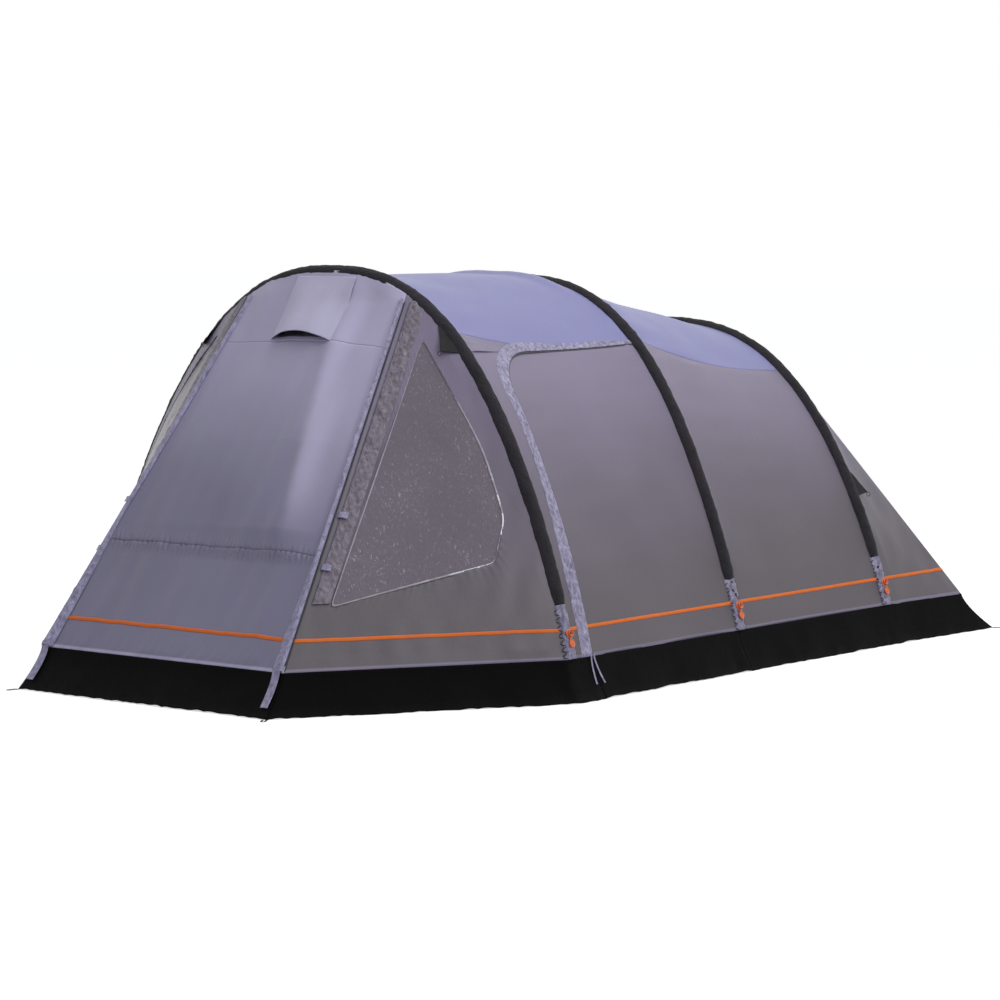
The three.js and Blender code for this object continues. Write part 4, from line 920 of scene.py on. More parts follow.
window_film, border_film = clear_film(), welded_border()
blind_cloth = crumpled_cloth("rolled blind", (80, 74, 84), (142, 133, 150), 0.024)
tie_cloth = crumpled_cloth("tie loops", (124, 120, 152), (176, 170, 204), 0.02)

WELD_HALF = 0.0045  # half the width of the welded border
weld = np.linspace(-WELD_HALF, WELD_HALF, 7)[:, None, None]
flat = outline[None] + spoke / np.linalg.norm(spoke, axis=1, keepdims=True) * weld
weld_points = on_gable(FRONT_SIDE, flat, 0.0013 - (weld[..., 0] / WELD_HALF) ** 2 * 0.0010)

z = np.linspace(0.50, 1.905, 260)[:, None]
wide = np.minimum(0.088, 0.55 * gable_width(*FRONT_SIDE, z[:, 0]))[:, None]
step = np.linspace(0, 1, 15)[None, :]
flat = np.stack([0.031 + wide * step, np.broadcast_to(z, (260, 15))], -1)
blind_plain = gable_place(*FRONT_SIDE, flat)
crushed = 0.0030 * crumple(blind_plain, 0.055, 67) + 0.0014 * crumple(blind_plain, 0.022, 68)
rolled = 0.003 + np.sin(step * math.pi) ** 0.8 * (0.0055 + crushed)
blind = on_gable(FRONT_SIDE, flat, np.maximum(rolled, 0.0022))

# The front zip's dark coil beside the zipped edge, 8.5 mm wide: a zip coil that also serves as painted shade
# for the shadow gap between the door's flap and the blind.
z, step = np.linspace(SKIRT_SEAM + 0.01, 1.90, 200)[:, None], np.linspace(0, 1, 5)[None, :]
coil = on_gable(FRONT_SIDE, np.stack([0.0008 + 0.0085 * step + 0 * z, z + 0 * step], -1), 0.0012)

ties = []
for height in (0.902, 0.666):
    t, w = np.linspace(0, 1, 22)[:, None], np.linspace(-1, 1, 7)[None, :]
    flat = np.stack([0.018 + 0.050 * t + 0 * w, height + 0.013 * w - 0.012 * t], -1)
    lift = 0.0035 + 0.0145 * np.sin(math.pi / 2 * t) ** 0.7 + 0.0012 * w * w
    ties.append(on_gable(FRONT_SIDE, flat, lift))

for side, turn in SIDES:
    cloth = surface(f"front_gable_cloth_{side}", turn(gable_cloth), around=True, thick=FABRIC)
    dress(cloth, wall_cloth, "flysheet", "tent", f"front_gable_{side}")
    pane = surface(f"window_film_{side}", turn(film), around=True, thick=0.0005)
    dress(pane, window_film, "window_film", "tent", f"window_{side}")
    border = surface(f"window_border_{side}", turn(weld_points), around=True, thick=0.0009)
    dress(border, border_film, "window_film", "tent")
    dress(surface(f"front_zip_coil_{side}", turn(coil), thick=0.001), zip_tape, "dark_plastic", "tent")
    roll = surface(f"window_blind_{side}", turn(blind), thick=0.001)
    dress(roll, blind_cloth, "flysheet", "tent")
    cut(blind_plain)
    for number, tie in enumerate(ties):
        loop = surface(f"blind_tie_{number}_{side}", turn(tie), thick=0.001)
        dress(loop, tie_cloth, "flysheet", "tent")


# ---------------------------------------------------------------- front panel: crown, door and its zip flaps
# The front is one lavender panel that leans back to the arch. Its upper part, the crown, is sewn in; from a
# level line under it hangs the door, with a cross seam, a zip up each edge and a flap over each zip.
front_cloth = coated_cloth("front cloth", (114, 110, 135), (135, 131, 161), (196, 190, 222), 1.05, 2.15, True)
rear_cloth = coated_cloth("rear cloth", (122, 118, 146), (142, 138, 170), (156, 151, 184))
hood_cloth = coated_cloth("hood cloth", (142, 138, 166), (160, 156, 186), (206, 201, 231), 1.0, 2.2)
ridge = front_edge(1.0) - front_edge(0.0)
panel_out = np.array([0.0, -ridge[2], ridge[1]]) / math.hypot(ridge[1], ridge[2])


def front_relief(places):
    """How far the front panel stands out of its plane: a tent-shaped rise to a slanting fold line on its
    right, 1 - |distance| on both sides, long soft pulls down the cloth, the cross seam's puckers, a crushed
    hem, and a soft filling of the valley where the door hangs from the crown."""
    x, z = places[..., 0], places[..., 2]
    level_run = places * (1, 0, 0)
    reach = front_edge(np.minimum(z, crown_corner[2]))[..., 0]
    fold = np.clip(0.222 + FOLD_SLANT * (1.69 - z), 0.19, 0.60)
    left, right = (x + reach) / (fold + reach), (reach - x) / (reach - fold)
    rise = np.clip(-np.log(np.exp(-left / 0.06) + np.exp(-right / 0.06)) * 0.06, 0, 1)
    height = np.interp(z, [0.2, 0.45, 0.66, 0.80, 1.2, 1.66, 1.9, 2.05],
                       [0.004, 0.012, 0.022, 0.060, 0.070, 0.046, 0.012, 0.0])
    pulls = 0.0050 * ripple(places * (1.0, 0.16, 0.16), 0.14, 71) + 0.0035 * ripple(places, 0.55, 72)
    pulls = pulls * np.interp(z, [0.32, 0.5], [0.45, 1.0])
    valley = np.clip(0.16 - np.abs(z - DOOR_TOP), 0, 1) ** 2 * 0.25 * (1 - np.clip(x / reach, -1, 1) ** 2)
    above = z - CROSS_SEAM
    pucker = np.abs(np.sin(x * 75 + 1.8 * ripple(level_run, 0.13, 73))) ** 0.6
    strong = 0.4 + 0.6 * (ripple(level_run, 0.2, 74) > -0.2)
    seam = 0.0075 * (pucker - 0.6) * np.exp(-np.abs(above) / 0.034) * strong
    seam = seam - 0.0024 * np.exp(-((above / 0.005) ** 2))
    hem = 0.0048 * crumple(places * (1, 0.2, 0.4), 0.06, 75) * np.exp(-(z - SKIRT_SEAM) / 0.035)
    edge = np.clip((reach - np.abs(x)) / 0.05, 0, 1) * np.clip((2.06 - z) / 0.15, 0, 1)
    sewn = np.clip((z - SKIRT_SEAM) / 0.03, 0, 1)
    return (height * rise + (pulls + seam + hem + valley) * edge) * sewn


def door_place(z, share):
    """The front panel's plane: share -1 at the left zip to 1 at the right one, level by level."""
    edge = front_edge(z)
    return np.stack([edge[..., 0] * share, edge[..., 1], edge[..., 2]], -1)


stops = np.linspace(ATTACH, LAST - ATTACH, 150)[None, :]
share = np.broadcast_to(1 - 2 * (stops - ATTACH) / (LAST - 2 * ATTACH), (48, 150))
down = np.linspace(0, 1, 48)[:, None, None]
high = arch_line(FRONT, stops)[0] - np.array([0, PANEL_CLEAR, 0])
plain = high * (1 - down) + door_place(np.full((48, 150), DOOR_TOP - 0.0015), share) * down
lap, sewn = 0.0002 * (down[..., 0] > 0.99), np.minimum(1, down[..., 0] * 5)
relief = front_relief(plain) * sewn + lap
crown = surface("front_crown_cloth", plain + panel_out * relief[..., None], thick=FABRIC)
dress(crown, front_cloth, "front_fabric", "tent", "front_crown")
cut(plain)

door_swing = ("tent", "front_door", (0.0, -1.343, DOOR_TOP), (0.0, -1.40, 1.60))
for name, top, bottom, rows, body in (("front_door_upper", DOOR_TOP, CROSS_SEAM, 130, door_swing),
                                      ("front_door_lower", CROSS_SEAM, SKIRT_SEAM, 74, "front_door")):
    z = np.broadcast_to(np.linspace(top, bottom, rows)[:, None], (rows, 170))
    plain = door_place(z, np.broadcast_to(np.linspace(0.996, -0.996, 170), (rows, 170)))
    panel = surface(f"{name}_cloth", plain + panel_out * front_relief(plain)[..., None], thick=FABRIC)
    dress(panel, front_cloth, "front_fabric", body, name)
    cut(plain)

# A flap stands over each zip like a tunnel, tall and wide enough for the slider that runs under its outer
# edge, and falls to the door's cloth at its inner edge.
door_flap_cloth = crumpled_cloth("door flap cloth", (118, 114, 146), (186, 181, 216), 0.024)
TUNNEL_WIDE, TUNNEL_TALL = 0.0195, 0.0150
for side, turn in SIDES:
    z = np.linspace(crown_corner[2] - 0.03, SKIRT_SEAM + 0.004, 330)[:, None]
    wide = np.interp(z, [0.2, 0.35, 0.62, 0.80, 1.9], [0.072, 0.064, 0.044, 0.030, 0.027])
    inwards = wide * np.linspace(0, 1, 17)[None, :]
    plain = door_place(np.broadcast_to(z, inwards.shape), 1.0)
    plain[..., 0] += 0.0016 - inwards
    plain = turn(plain)
    loose = np.interp(z, [0.2, 0.6, 0.75, 1.9], [1.3, 1.1, 0.15, 0.1])
    crushed = 0.0028 * crumple(plain * (1, 1, 0.7), 0.045, 76) + 0.0012 * ripple(plain, 0.03, 77)
    tunnel = np.interp(inwards, [0.0, 0.010], [TUNNEL_TALL - 0.0042, TUNNEL_TALL])
    drop = (TUNNEL_TALL - 0.0026) * np.clip((inwards - TUNNEL_WIDE) / (wide - TUNNEL_WIDE), 0, 1)
    least = np.where(inwards < TUNNEL_WIDE + 0.0005, tunnel - 0.0006, 0.0022)
    lift = np.maximum(front_relief(plain), 0) + np.maximum(tunnel - drop + loose * crushed, least)
    flap = surface(f"door_zip_flap_{side}", plain + panel_out * lift[..., None], thick=0.001)
    dress(flap, door_flap_cloth, "front_fabric", door_swing)
    cut(plain)


# ---------------------------------------------------------------- vent hood
# High on the crown a small hood shades a mesh vent. Its cloth grows out of the crown's top and hangs over the
# vent with a bowed hem; a stiff strip props it open.
def net():
    """Fine dark mosquito net: two crossing rows of threads, with gaps that let some light through."""
    f = Finish("vent net", Roughness=0.7)
    u, v = f.cloth()
    rows, columns = f.wave(u, 0.0016) ** 3, f.wave(v, 0.0016) ** 3
    threads = f.node("ShaderNodeMath", {"operation": "MAXIMUM"}, {0: rows, 1: columns})
    colour = f.between(paint(20, 20, 24), paint(52, 50, 56), threads)
    return f.feed(Base_Color=colour, Alpha=threads * 0.4 + 0.6, bump=threads * 0.0002)


crown_low, crown_high = front_edge(DOOR_TOP)[1], arch_line(FRONT, TOP)[0][1] - PANEL_CLEAR


def crown_y(z):
    """y of the crown's middle at a height: straight from the line that the door hangs from up to the arch."""
    return crown_low + (crown_high - crown_low) * (z - DOOR_TOP) / (FRONT["height"] - DOOR_TOP)


HOOD_TOP = 2.020
down, share = np.linspace(0, 1, 60)[:, None], np.linspace(-1, 1, 90)[None, :]
hem_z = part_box("vent_hood")[0][2] + 0.055 * (1 - share ** 2)
z = HOOD_TOP + (hem_z - HOOD_TOP) * down
x = share * (0.192 + 0.030 * down)
bow = (0.045 + 0.045 * (1 - share ** 2)) * (1 - share ** 4)
stand = 0.002 + np.clip((HOOD_TOP - z) / 0.32, 0, 1) ** 1.15 * bow
plain = np.stack([x, crown_y(z), z], -1)
sag = 0.0030 * ripple(plain * (1, 1, 0.3), 0.12, 81) * np.minimum(1, 3 * down)
points = plain + np.array([0.0, -1.0, 0.0]) * (stand + sag + 0.9 * front_relief(plain))[..., None]
hood_ways = ("tent", "vent_hood_flap", (0.0, -1.190, 2.005), (0.0, -1.20, 1.955))
hood = surface("vent_hood_cloth", points, thick=0.0013)
dress(hood, hood_cloth, "front_fabric", hood_ways, "vent_hood")
cut(plain)

share, up = np.linspace(-1, 1, 40)[None, :], np.linspace(0, 1, 24)[:, None]
mesh_z = 1.700 + 0.225 * up + 0 * share
plain = np.stack([share * (0.180 - 0.045 * up), crown_y(mesh_z), mesh_z], -1)
vent = surface("vent_net", plain + panel_out * (front_relief(plain) + 0.0022)[..., None], thick=0.0006)
dress(vent, net(), "webbing", "tent")
cut(plain)
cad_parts["vent_prop"].data.materials.clear()
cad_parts["vent_prop"].data.materials.append(dark_plastic)


# ---------------------------------------------------------------- rear gables and end panel
# Behind the last arch the cloth falls to the ground in one broad lavender panel, with a narrow gable of wall
# cloth on each side.
REAR_HALF, REAR_DEPTH = HALF - 0.017, 0.721
REAR_FOOT = np.array([REAR_HALF, REAR["y"] + REAR_DEPTH, SKIRT_SEAM])
rear_attach = arch_line(REAR, ROOF)[0] + np.array([0, PANEL_CLEAR, 0])
rear_edge = edge_line(REAR_FOOT, rear_attach)
REAR_SIDE = (REAR, rear_edge, 1)


def rear_gable_relief(plain, share, z):
    """How far a rear gable's cloth stands out: slow swelling, shallow folds and a sag of 10 mm."""
    edge = np.minimum(1, np.minimum(share, 1 - share) * 9)
    relief = (0.0045 * ripple(plain, 0.5, 83) + 0.002 * ripple(plain * (1, 1, 0.4), 0.12, 84)) * edge
    return relief - 0.010 * (4 * share * (1 - share)) * np.sin(math.pi * (z - 0.2) / 1.26)


z, share = np.linspace(SKIRT_SEAM, rear_attach[2] - 0.003, 110)[:, None], np.linspace(0, 1, 60)[None, :]
flat = np.stack([gable_width(*REAR_SIDE, z) * share, z + 0 * share], -1)
plain = gable_place(*REAR_SIDE, flat)
points = on_gable(REAR_SIDE, flat, rear_gable_relief(plain, share, z))
for side, turn in SIDES:
    cloth = surface(f"rear_gable_cloth_{side}", turn(points), thick=FABRIC)
    dress(cloth, wall_cloth, "flysheet", "tent", f"rear_gable_{side}")
    cut(plain)


def rear_tops(share):
    """The rear panel's upper edge, from its right end at share 1 to its left end at -1."""
    return arch_line(REAR, ROOF + (LAST - 2 * ROOF) * (1 - share) / 2)[0] + np.array([0, PANEL_CLEAR, 0])


def rear_panel(share, down):
    """The rear panel, straight from its upper edge to its foot, and how far its cloth stands out of it:
    slow swelling, shallow folds and a sag of 30 mm."""
    feet = REAR_FOOT * np.stack([share, np.ones_like(share), np.ones_like(share)], -1)
    plain = rear_tops(share) * (1 - down)[..., None] + feet * down[..., None]
    edge = np.minimum(1, (1 - np.abs(share)) * 14) * np.minimum(1, np.minimum(down, 1 - down) * 12)
    relief = (0.006 * ripple(plain, 0.7, 85) + 0.003 * ripple(plain * (1, 0.3, 0.3), 0.16, 86)) * edge
    return plain, relief - 0.030 * np.sin(math.pi * down) * (1 - share ** 2)


plain, relief = rear_panel(np.linspace(1, -1, 190)[None, :], np.linspace(0, 1, 110)[:, None])
panel = surface("rear_panel_cloth", plain + outward_of(plain) * relief[..., None], thick=FABRIC)
dress(panel, rear_cloth, "front_fabric", "tent", "rear_panel")
cut(plain)


# ---------------------------------------------------------------- mud skirt
# Black woven plastic cloth is sewn to the foot of every panel and flares out to the ground, where pegs hold
# it. The two doors carry their own lengths of it, a few millimetres clear of the ground.
def skirt_cloth():
    """Black woven polyethylene: flat crossing tapes, a slight gloss, and paler grey flecks along the hem."""
    f = Finish("mud skirt cloth", Specular_IOR_Level=0.04)
    tapes, cloud, fine = f.weave(0.0030), f.noise(4.0, 4.0, 0.6), f.noise(34.0, 5.0, 0.65, 0.8)
    pale_flecks_low = f.ramp(f.coordinate(2) + cloud * 0.06, 0.075, 0.015)
    colour = f.between(paint(2, 2, 3), paint(10, 10, 12), cloud * 0.6 + fine * 0.4)
    colour = f.between(colour, paint(46, 44, 44), pale_flecks_low * fine * 0.3)
    return f.feed(Base_Color=colour, Roughness=cloud * 0.25 + 0.50, bump=tapes * 0.00025 + fine * 0.003)


def foot_line(arches, *spans):
    """Points of the skirt's seam under a bay's wall."""
    stop = np.full(len(spans), SKIRT)
    return bay(arches, stop, np.array(spans), bay_sag(arches, stop))[0]


# The seam is walked once round the tent. On the right it is cut at the side door's zip and at the middle
# arch.
ZIP_SPAN = (ZIP_AFT - CLEAR) / BAY  # share of the front bay before the side door's zip
front_feet, rear_feet = (gable_place(*gable, np.array([[0.0, SKIRT_SEAM], [BEYOND, SKIRT_SEAM]]))
                         for gable in (FRONT_SIDE, REAR_SIDE))
right = np.concatenate([front_feet, foot_line(FRONT_BAY, 0.0, ZIP_SPAN, 1.0), foot_line(REAR_BAY, 0.0, 1.0),
                        rear_feet[::-1]])
left = mirrored(np.delete(right, [3, 4], 0))[::-1]
FRONT_FLARE, SIDE_FLARE, REAR_FLARE = 0.146, 0.095, 0.175
runs = ((np.array([left[-1], right[0]]), FRONT_FLARE, "skirt_front_door"),
        (right[:4], SIDE_FLARE, "skirt_front_right"), (right[3:5], SIDE_FLARE, "skirt_side_door"),
        (right[4:], SIDE_FLARE, "skirt_right"),
        (np.array([right[-1], left[0]]), REAR_FLARE, "skirt_rear"),
        (left[:5], SIDE_FLARE, "skirt_left"), (left[4:], SIDE_FLARE, "skirt_front_left"))


def run_out(a, b):
    """The level direction out of the tent, square to the seam from a to b."""
    way = (b - a) / np.linalg.norm(b - a)
    return np.array([way[1], -way[0], 0.0])


def mitre(before, after):
    """Where two hems cross: the shift whose parts along both outward directions are the two flares."""
    (first, flare_a), (second, flare_b) = before, after
    if first @ second > 0.97:
        mean = first + second
        return mean / np.linalg.norm(mean) * (flare_a + flare_b) / 2
    return np.append(np.linalg.solve(np.array([first[:2], second[:2]]), [flare_a, flare_b]), 0.0)


skirt_black = skirt_cloth()
hem_corners, skirt_lines = {}, {}
for number, (seam, flare, name) in enumerate(runs):
    (before, flare_before, _), (after, flare_after, _) = runs[number - 1], runs[(number + 1) % len(runs)]
    ways = [(run_out(before[-2], before[-1]), flare_before),
            *((run_out(a, b), flare) for a, b in zip(seam, seam[1:])),
            (run_out(after[0], after[1]), flare_after)]
    shifts = [mitre(*corner) for corner in zip(ways, ways[1:])]
    hem_corners[name] = seam[0] + shifts[0]
    tops, feet = [], []
    for i, (a, b) in enumerate(zip(seam, seam[1:])):
        count = max(4, int(np.linalg.norm(b - a) / 0.012))
        along = np.linspace(0, 1, count)[min(i, 1):, None]
        tops.append(a * (1 - along) + b * along)
        feet.append((a + shifts[i]) * (1 - along) + (b + shifts[i + 1]) * along)
    top, foot = np.concatenate(tops), np.concatenate(feet)
    down = np.linspace(0, 1, 26)[:, None, None]
    clear = 0.003 if name in ("skirt_front_door", "skirt_side_door") else 0.0006
    plain = top[None] * (1 - down ** 1.25) + foot[None] * down ** 1.25
    plain[..., 2] = SKIRT_SEAM + 0.002 + (clear - SKIRT_SEAM - 0.002) * down[..., 0] ** 0.9
    out = (foot - top) * (1, 1, 0)
    out /= np.linalg.norm(out, axis=1, keepdims=True)
    skirt_lines[name] = (top, foot, out)
    run = walked(top)[None, :]
    ends = np.clip(np.minimum(run, run[:, -1:] - run) / 0.05, 0, 1)
    where = plain * (1, 1, 0.25)
    folds = 0.006 * ripple(where, 0.30, 91) + 0.003 * crumple(where, 0.20, 92)
    points = plain + out[None] * (folds * down[..., 0] * ends + 0.0008)[..., None]
    points[..., 2] += 0.0035 * np.abs(ripple(where, 0.12, 94)) * down[..., 0] ** 6 * ends
    body = {"skirt_front_door": "front_door", "skirt_side_door": "side_door_panel"}.get(name, "tent")
    skirt = surface(f"{name}_cloth", points, thick=0.0014)
    dress(skirt, skirt_black, "mud_skirt", body, name)
    upper = {"skirt_front_door": "front_door_lower_cloth", "skirt_side_door": "side_door_cloth",
             "skirt_rear": "rear_panel_cloth"}.get(name, "sleeve_front")
    cut(plain)


def zip_tail(name, skirt_name, end, wide, low, lift, finish, body):
    """A loose strip over the skirt beside a zip's foot. Its edge lies `end` metres from the skirt's end, at
    the seam and at its own foot, or from the far end where that is negative."""
    top, foot, out = skirt_lines[skirt_name]
    run = walked(top)
    at = np.linspace(end[0], end[1], 60)[:, None] + np.linspace(0, wide, 9)[None, :]
    at = at if at.min() >= 0 else run[-1] + at
    down = np.linspace(-0.03, low, 60)[:, None]
    hem = np.clip(down, 0, 1) ** 1.25
    over = [np.stack([np.interp(at, run, line[:, i]) for i in range(3)], -1) for line in (top, foot, out)]
    plain = over[0] * (1 - hem[..., None]) + over[1] * hem[..., None]
    plain[..., 2] = SKIRT_SEAM * (1 - np.sign(down) * np.abs(down) ** 0.9) + 0.003
    crest = np.sin(np.linspace(0, math.pi, 9))[None, :] ** 0.6
    rise = lift + 0.002 * crest + 0.0022 * crumple(plain, 0.05, 78) * crest * min(1, wide / 0.03)
    tail = surface(name, plain + over[2] * np.maximum(rise, lift)[..., None], thick=0.001)
    dress(tail, finish, "front_fabric" if finish is door_flap_cloth else "webbing", body)


for side, end in (("right", (-0.058, -0.060)), ("left", (0.012, 0.014))):
    zip_tail(f"front_zip_tail_{side}", "skirt_front_door", end, 0.046, 0.74, 0.012, door_flap_cloth,
             "front_door")
zip_tail("side_zip_tail_front", "skirt_front_right", (-0.016, -0.040), 0.012, 0.62, 0.010, tie_cloth, "tent")
zip_tail("side_zip_tail_rear", "skirt_side_door", (0.004, 0.026), 0.012, 0.62, 0.010, tie_cloth,
         "side_door_panel")


# ---------------------------------------------------------------- orange piping
# A band of orange piping is sewn round the tent a hand's breadth above the skirt seam, on every panel.
PIPING_LOW, PIPING_HIGH = 0.333, 0.350


def woven_band(name, dark, light, pitch=0.0022, rough=0.6):
    """Narrow woven band: ribs across it and a slightly uneven dye."""
    f = Finish(name, Specular_IOR_Level=0.25)
    u, v = f.cloth()
    rib = f.wave(u, pitch) * 0.7 + f.wave(v, pitch * 1.7) * 0.3
    worn = f.noise(30.0, 4.0, 0.6)
    colour = f.between(paint(*dark), paint(*light), rib * 0.4 + worn * 0.6)
    return f.feed(Base_Color=colour, Roughness=worn * 0.16 + (rough - 0.08),
                  bump=rib * 0.0003 + worn * 0.0008)


orange_band = woven_band("orange piping", (214, 98, 34), (240, 128, 58))


def band(name, plain, out, relief, body, turn=as_drawn):
    """A strip of piping on a panel: rows from low to high, lifted off the cloth to a rounded middle."""
    swell = 0.0010 + 0.0016 * np.sin(np.linspace(0, math.pi, plain.shape[0]))[:, None]
    piece = surface(name, turn(plain + out * (relief + swell)[..., None]), thick=0.0008)
    dress(piece, orange_band, "webbing", body)


levels = np.linspace(PIPING_LOW, PIPING_HIGH, 6)[:, None]
for arches, name, first, last, body, turn in (
        (FRONT_BAY, "surround", 0.0, ZIP_SPAN - 0.003, "tent", as_drawn),
        (FRONT_BAY, "side_door", ZIP_SPAN + 0.001, 1.0, door_ways, as_drawn),
        (FRONT_BAY, "wall_front_left", 0.0, 1.0, "tent", mirrored),
        (REAR_BAY, "wall_rear_right", 0.0, 1.0, "tent", as_drawn),
        (REAR_BAY, "wall_rear_left", 0.0, 1.0, "tent", mirrored)):
    span = np.broadcast_to(np.linspace(first, last, 90), (6, 90))
    stop = np.broadcast_to(stop_at(arches[0], levels), span.shape)
    plain, out = bay(arches, stop, span, bay_sag(arches, stop))
    seed = WALL_SEEDS.get(name, WALL_SEEDS["side_door"])
    band(f"piping_{name}", plain, out, tension(plain, stop, span, seed), body, turn)
for gable, name in ((FRONT_SIDE, "front_gable"), (REAR_SIDE, "rear_gable")):
    share, z = np.linspace(0.002, 0.998, 100)[None, :], np.broadcast_to(levels, (6, 100))
    wide = gable_width(*gable, z)
    flat = np.stack([wide * share, z], -1)
    plain = gable_place(*gable, flat)
    if gable is FRONT_SIDE:
        near = np.minimum(np.minimum(flat[..., 0], wide - flat[..., 0]), z - SKIRT_SEAM)
        relief = front_gable_relief(plain, np.clip(near / SEWN_REACH, 0, 1))
    else:
        relief = rear_gable_relief(plain, share, z)
    for side, turn in SIDES:
        band(f"piping_{name}_{side}", plain, gable_out(*gable, flat), relief, "tent", turn)
z = np.broadcast_to(levels, (6, 180))
plain = door_place(z, np.broadcast_to(np.linspace(0.93, -0.93, 180), (6, 180)))
band("piping_front_door", plain, np.broadcast_to(panel_out, plain.shape), front_relief(plain), "front_door")
share = np.linspace(0.985, -0.985, 180)[None, :]
top = rear_tops(share)[..., 2]
plain, relief = rear_panel(share, (top - levels) / (top - SKIRT_SEAM))
band("piping_rear_panel", plain, outward_of(plain), relief, "tent")


# ---------------------------------------------------------------- guy patches and peg loops
# Three-cornered black patches reinforce the sleeves where guy lines can be tied on. Flat webbing loops for
# pegs are sewn under the hem at the four corners.
black_web = woven_band("black webbing", (12, 12, 14), (36, 34, 39), 0.0026, 0.7)


def guy_patch(name, gable, top):
    """A triangle of cloth, its rows growing downwards from the sleeve's seam, with its lower corner standing
    free of the gable, and a ring that hangs from that corner."""
    down, out = np.linspace(0.012, 1, 26)[:, None], np.linspace(0, 1, 22)[None, :]
    z = top - 0.145 * down + 0 * out
    flat = np.stack([gable_width(*gable, z) - 0.095 * down * out, z], -1)
    drawn = np.stack([flat[..., 0], z, 0 * z], -1)
    stand = 0.0024 + 0.026 * down * out ** 1.3 + 0.0014 * ripple(drawn, 0.06, 95) * out
    points = on_gable(gable, flat, stand)
    turns = np.linspace(0, 2 * math.pi, 40, endpoint=False)[:, None]
    small = np.linspace(0, 2 * math.pi, 12, endpoint=False)[None, :]
    radius = 0.011 + 0.0018 * np.cos(small)
    ring = np.stack([radius * np.cos(turns), 0.0018 * np.sin(small) + 0 * turns, radius * np.sin(turns)], -1)
    ring = np.concatenate([ring, ring[:1]])
    for side, turn in SIDES:
        patch = surface(f"guy_patch_{name}_cloth_{side}", turn(points), thick=0.0022)
        dress(patch, black_web, "webbing", "tent", f"guy_patch_{name}_{side}")
        hub = turn(points[-1, -1]) + np.array([0, 0.006 * gable[2], -0.012])
        hoop = surface(f"guy_ring_{name}_{side}", hub + ring, around=True, inside=hub)
        dress(hoop, dark_plastic, "dark_plastic", "tent")


guy_patch("front", FRONT_SIDE, FRONT["height"] - 0.250)
guy_patch("rear", REAR_SIDE, REAR["height"] - 0.784)

# A peg loop runs out from the hem's corner, round a half circle and back: how far out each point of its band
# lies, how far to the left, and how high.
LEG, BEND, WEB_HALF = 0.046, 0.0095, 0.0045
t, w = np.linspace(0, 1, 150)[:, None], np.linspace(-WEB_HALF, WEB_HALF, 5)[None, :]
bend = np.clip((t - 0.5) / 0.12 + 0.5, 0, 1) * math.pi
out = 0.001 + LEG * np.clip(np.minimum(t, 1 - t) / 0.44, 0, 1) + np.sin(bend) * (BEND + w)
web = np.stack([out, -np.cos(bend) * (BEND + w), 0.0018 + 0.0008 * np.sin(t * 9) + 0 * w], -1)
for name, corner, turn in (("front_right", "skirt_front_right", as_drawn),
                           ("front_left", "skirt_front_right", mirrored),
                           ("rear_right", "skirt_rear", as_drawn), ("rear_left", "skirt_rear", mirrored)):
    start = turn(hem_corners[corner] * (1, 1, 0))
    way = np.mean(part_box(f"peg_tab_{name}"), axis=0) * (1, 1, 0) - start
    way /= np.linalg.norm(way)
    loop = start + web @ np.stack([way, (-way[1], way[0], 0.0), (0.0, 0.0, 1.0)])
    peg = surface(f"peg_loop_{name}", loop, inside=(start[0], start[1], -1.0), thick=0.0016)
    dress(peg, black_web, "webbing", "tent", f"peg_tab_{name}")


# ---------------------------------------------------------------- zip sliders
# Each zip is closed by a black slider with a long pull, which runs straight up beside the zip's line.
def slider(name, foot, along, out, aside, body, node):
    """A slider from rounded blocks: base, raised bridge and flat pull. It sits 40 mm above the zip's foot and
    9.2 mm beside its line, to the side that `aside` says."""
    along = along / np.linalg.norm(along)
    across = np.cross(out, along)
    across /= np.linalg.norm(across)
    face = np.cross(along, across)
    origin = foot + along * 0.040 + face * 0.0008 + across * aside * 0.0092
    frame_ways = np.stack([along, across, face])
    centres = np.array([(0.011, 0, 0.0018), (0.011, 0, 0.0056), (0.003, 0, 0.0050), (-0.014, 0, 0.0042),
                        (-0.030, 0, 0.0042)])
    sizes = np.array([(0.021, 0.0148, 0.0032), (0.015, 0.0060, 0.0026), (0.007, 0.0050, 0.0030),
                      (0.030, 0.0052, 0.0018), (0.012, 0.0088, 0.0026)])
    piece = blocks(name, origin + centres @ frame_ways, np.broadcast_to(frame_ways, (5, 3, 3)), sizes)
    dress(piece, dark_plastic, "dark_plastic", body, node)


out = gable_out(*FRONT_SIDE, np.array([0.004, DOOR_TOP]))
for side, turn, aside in (("right", as_drawn, 1), ("left", mirrored, -1)):
    slider(f"slider_front_{side}", turn(front_edge(SKIRT_SEAM)), turn(ridge), turn(out), aside,
           f"front_{side}_slider", f"zip_slider_front_{side}")
stop = np.array([SKIRT, COVER], float)
path, path_out = bay(FRONT_BAY, stop, np.full(2, ZIP_SPAN), bay_sag(FRONT_BAY, stop))
slider("slider_side", path[0], path[1] - path[0], path_out[0], -1, "side_slider", "zip_slider_side")


# ---------------------------------------------------------------- inside: groundsheet and bedroom
# Past the middle arch hangs a pale breathable bedroom with its own floor, closed in front by a sheet with a
# D-shaped zipped door. The living room has a loose groundsheet.
def inner_cloth_finish(name, dark, light):
    """Light breathable polyester: open plain weave with soft clouding."""
    f = Finish(name, Sheen_Weight=0.1)
    weave, cloud = f.weave(0.0016), f.noise(2.5, 3.0)
    colour = f.between(paint(*dark), paint(*light), cloud * 0.7 + weave * 0.3)
    return f.feed(Base_Color=colour, Roughness=cloud * 0.1 + 0.72,
                  bump=weave * 0.0002 + f.noise(18.0, 4.0) * 0.003)


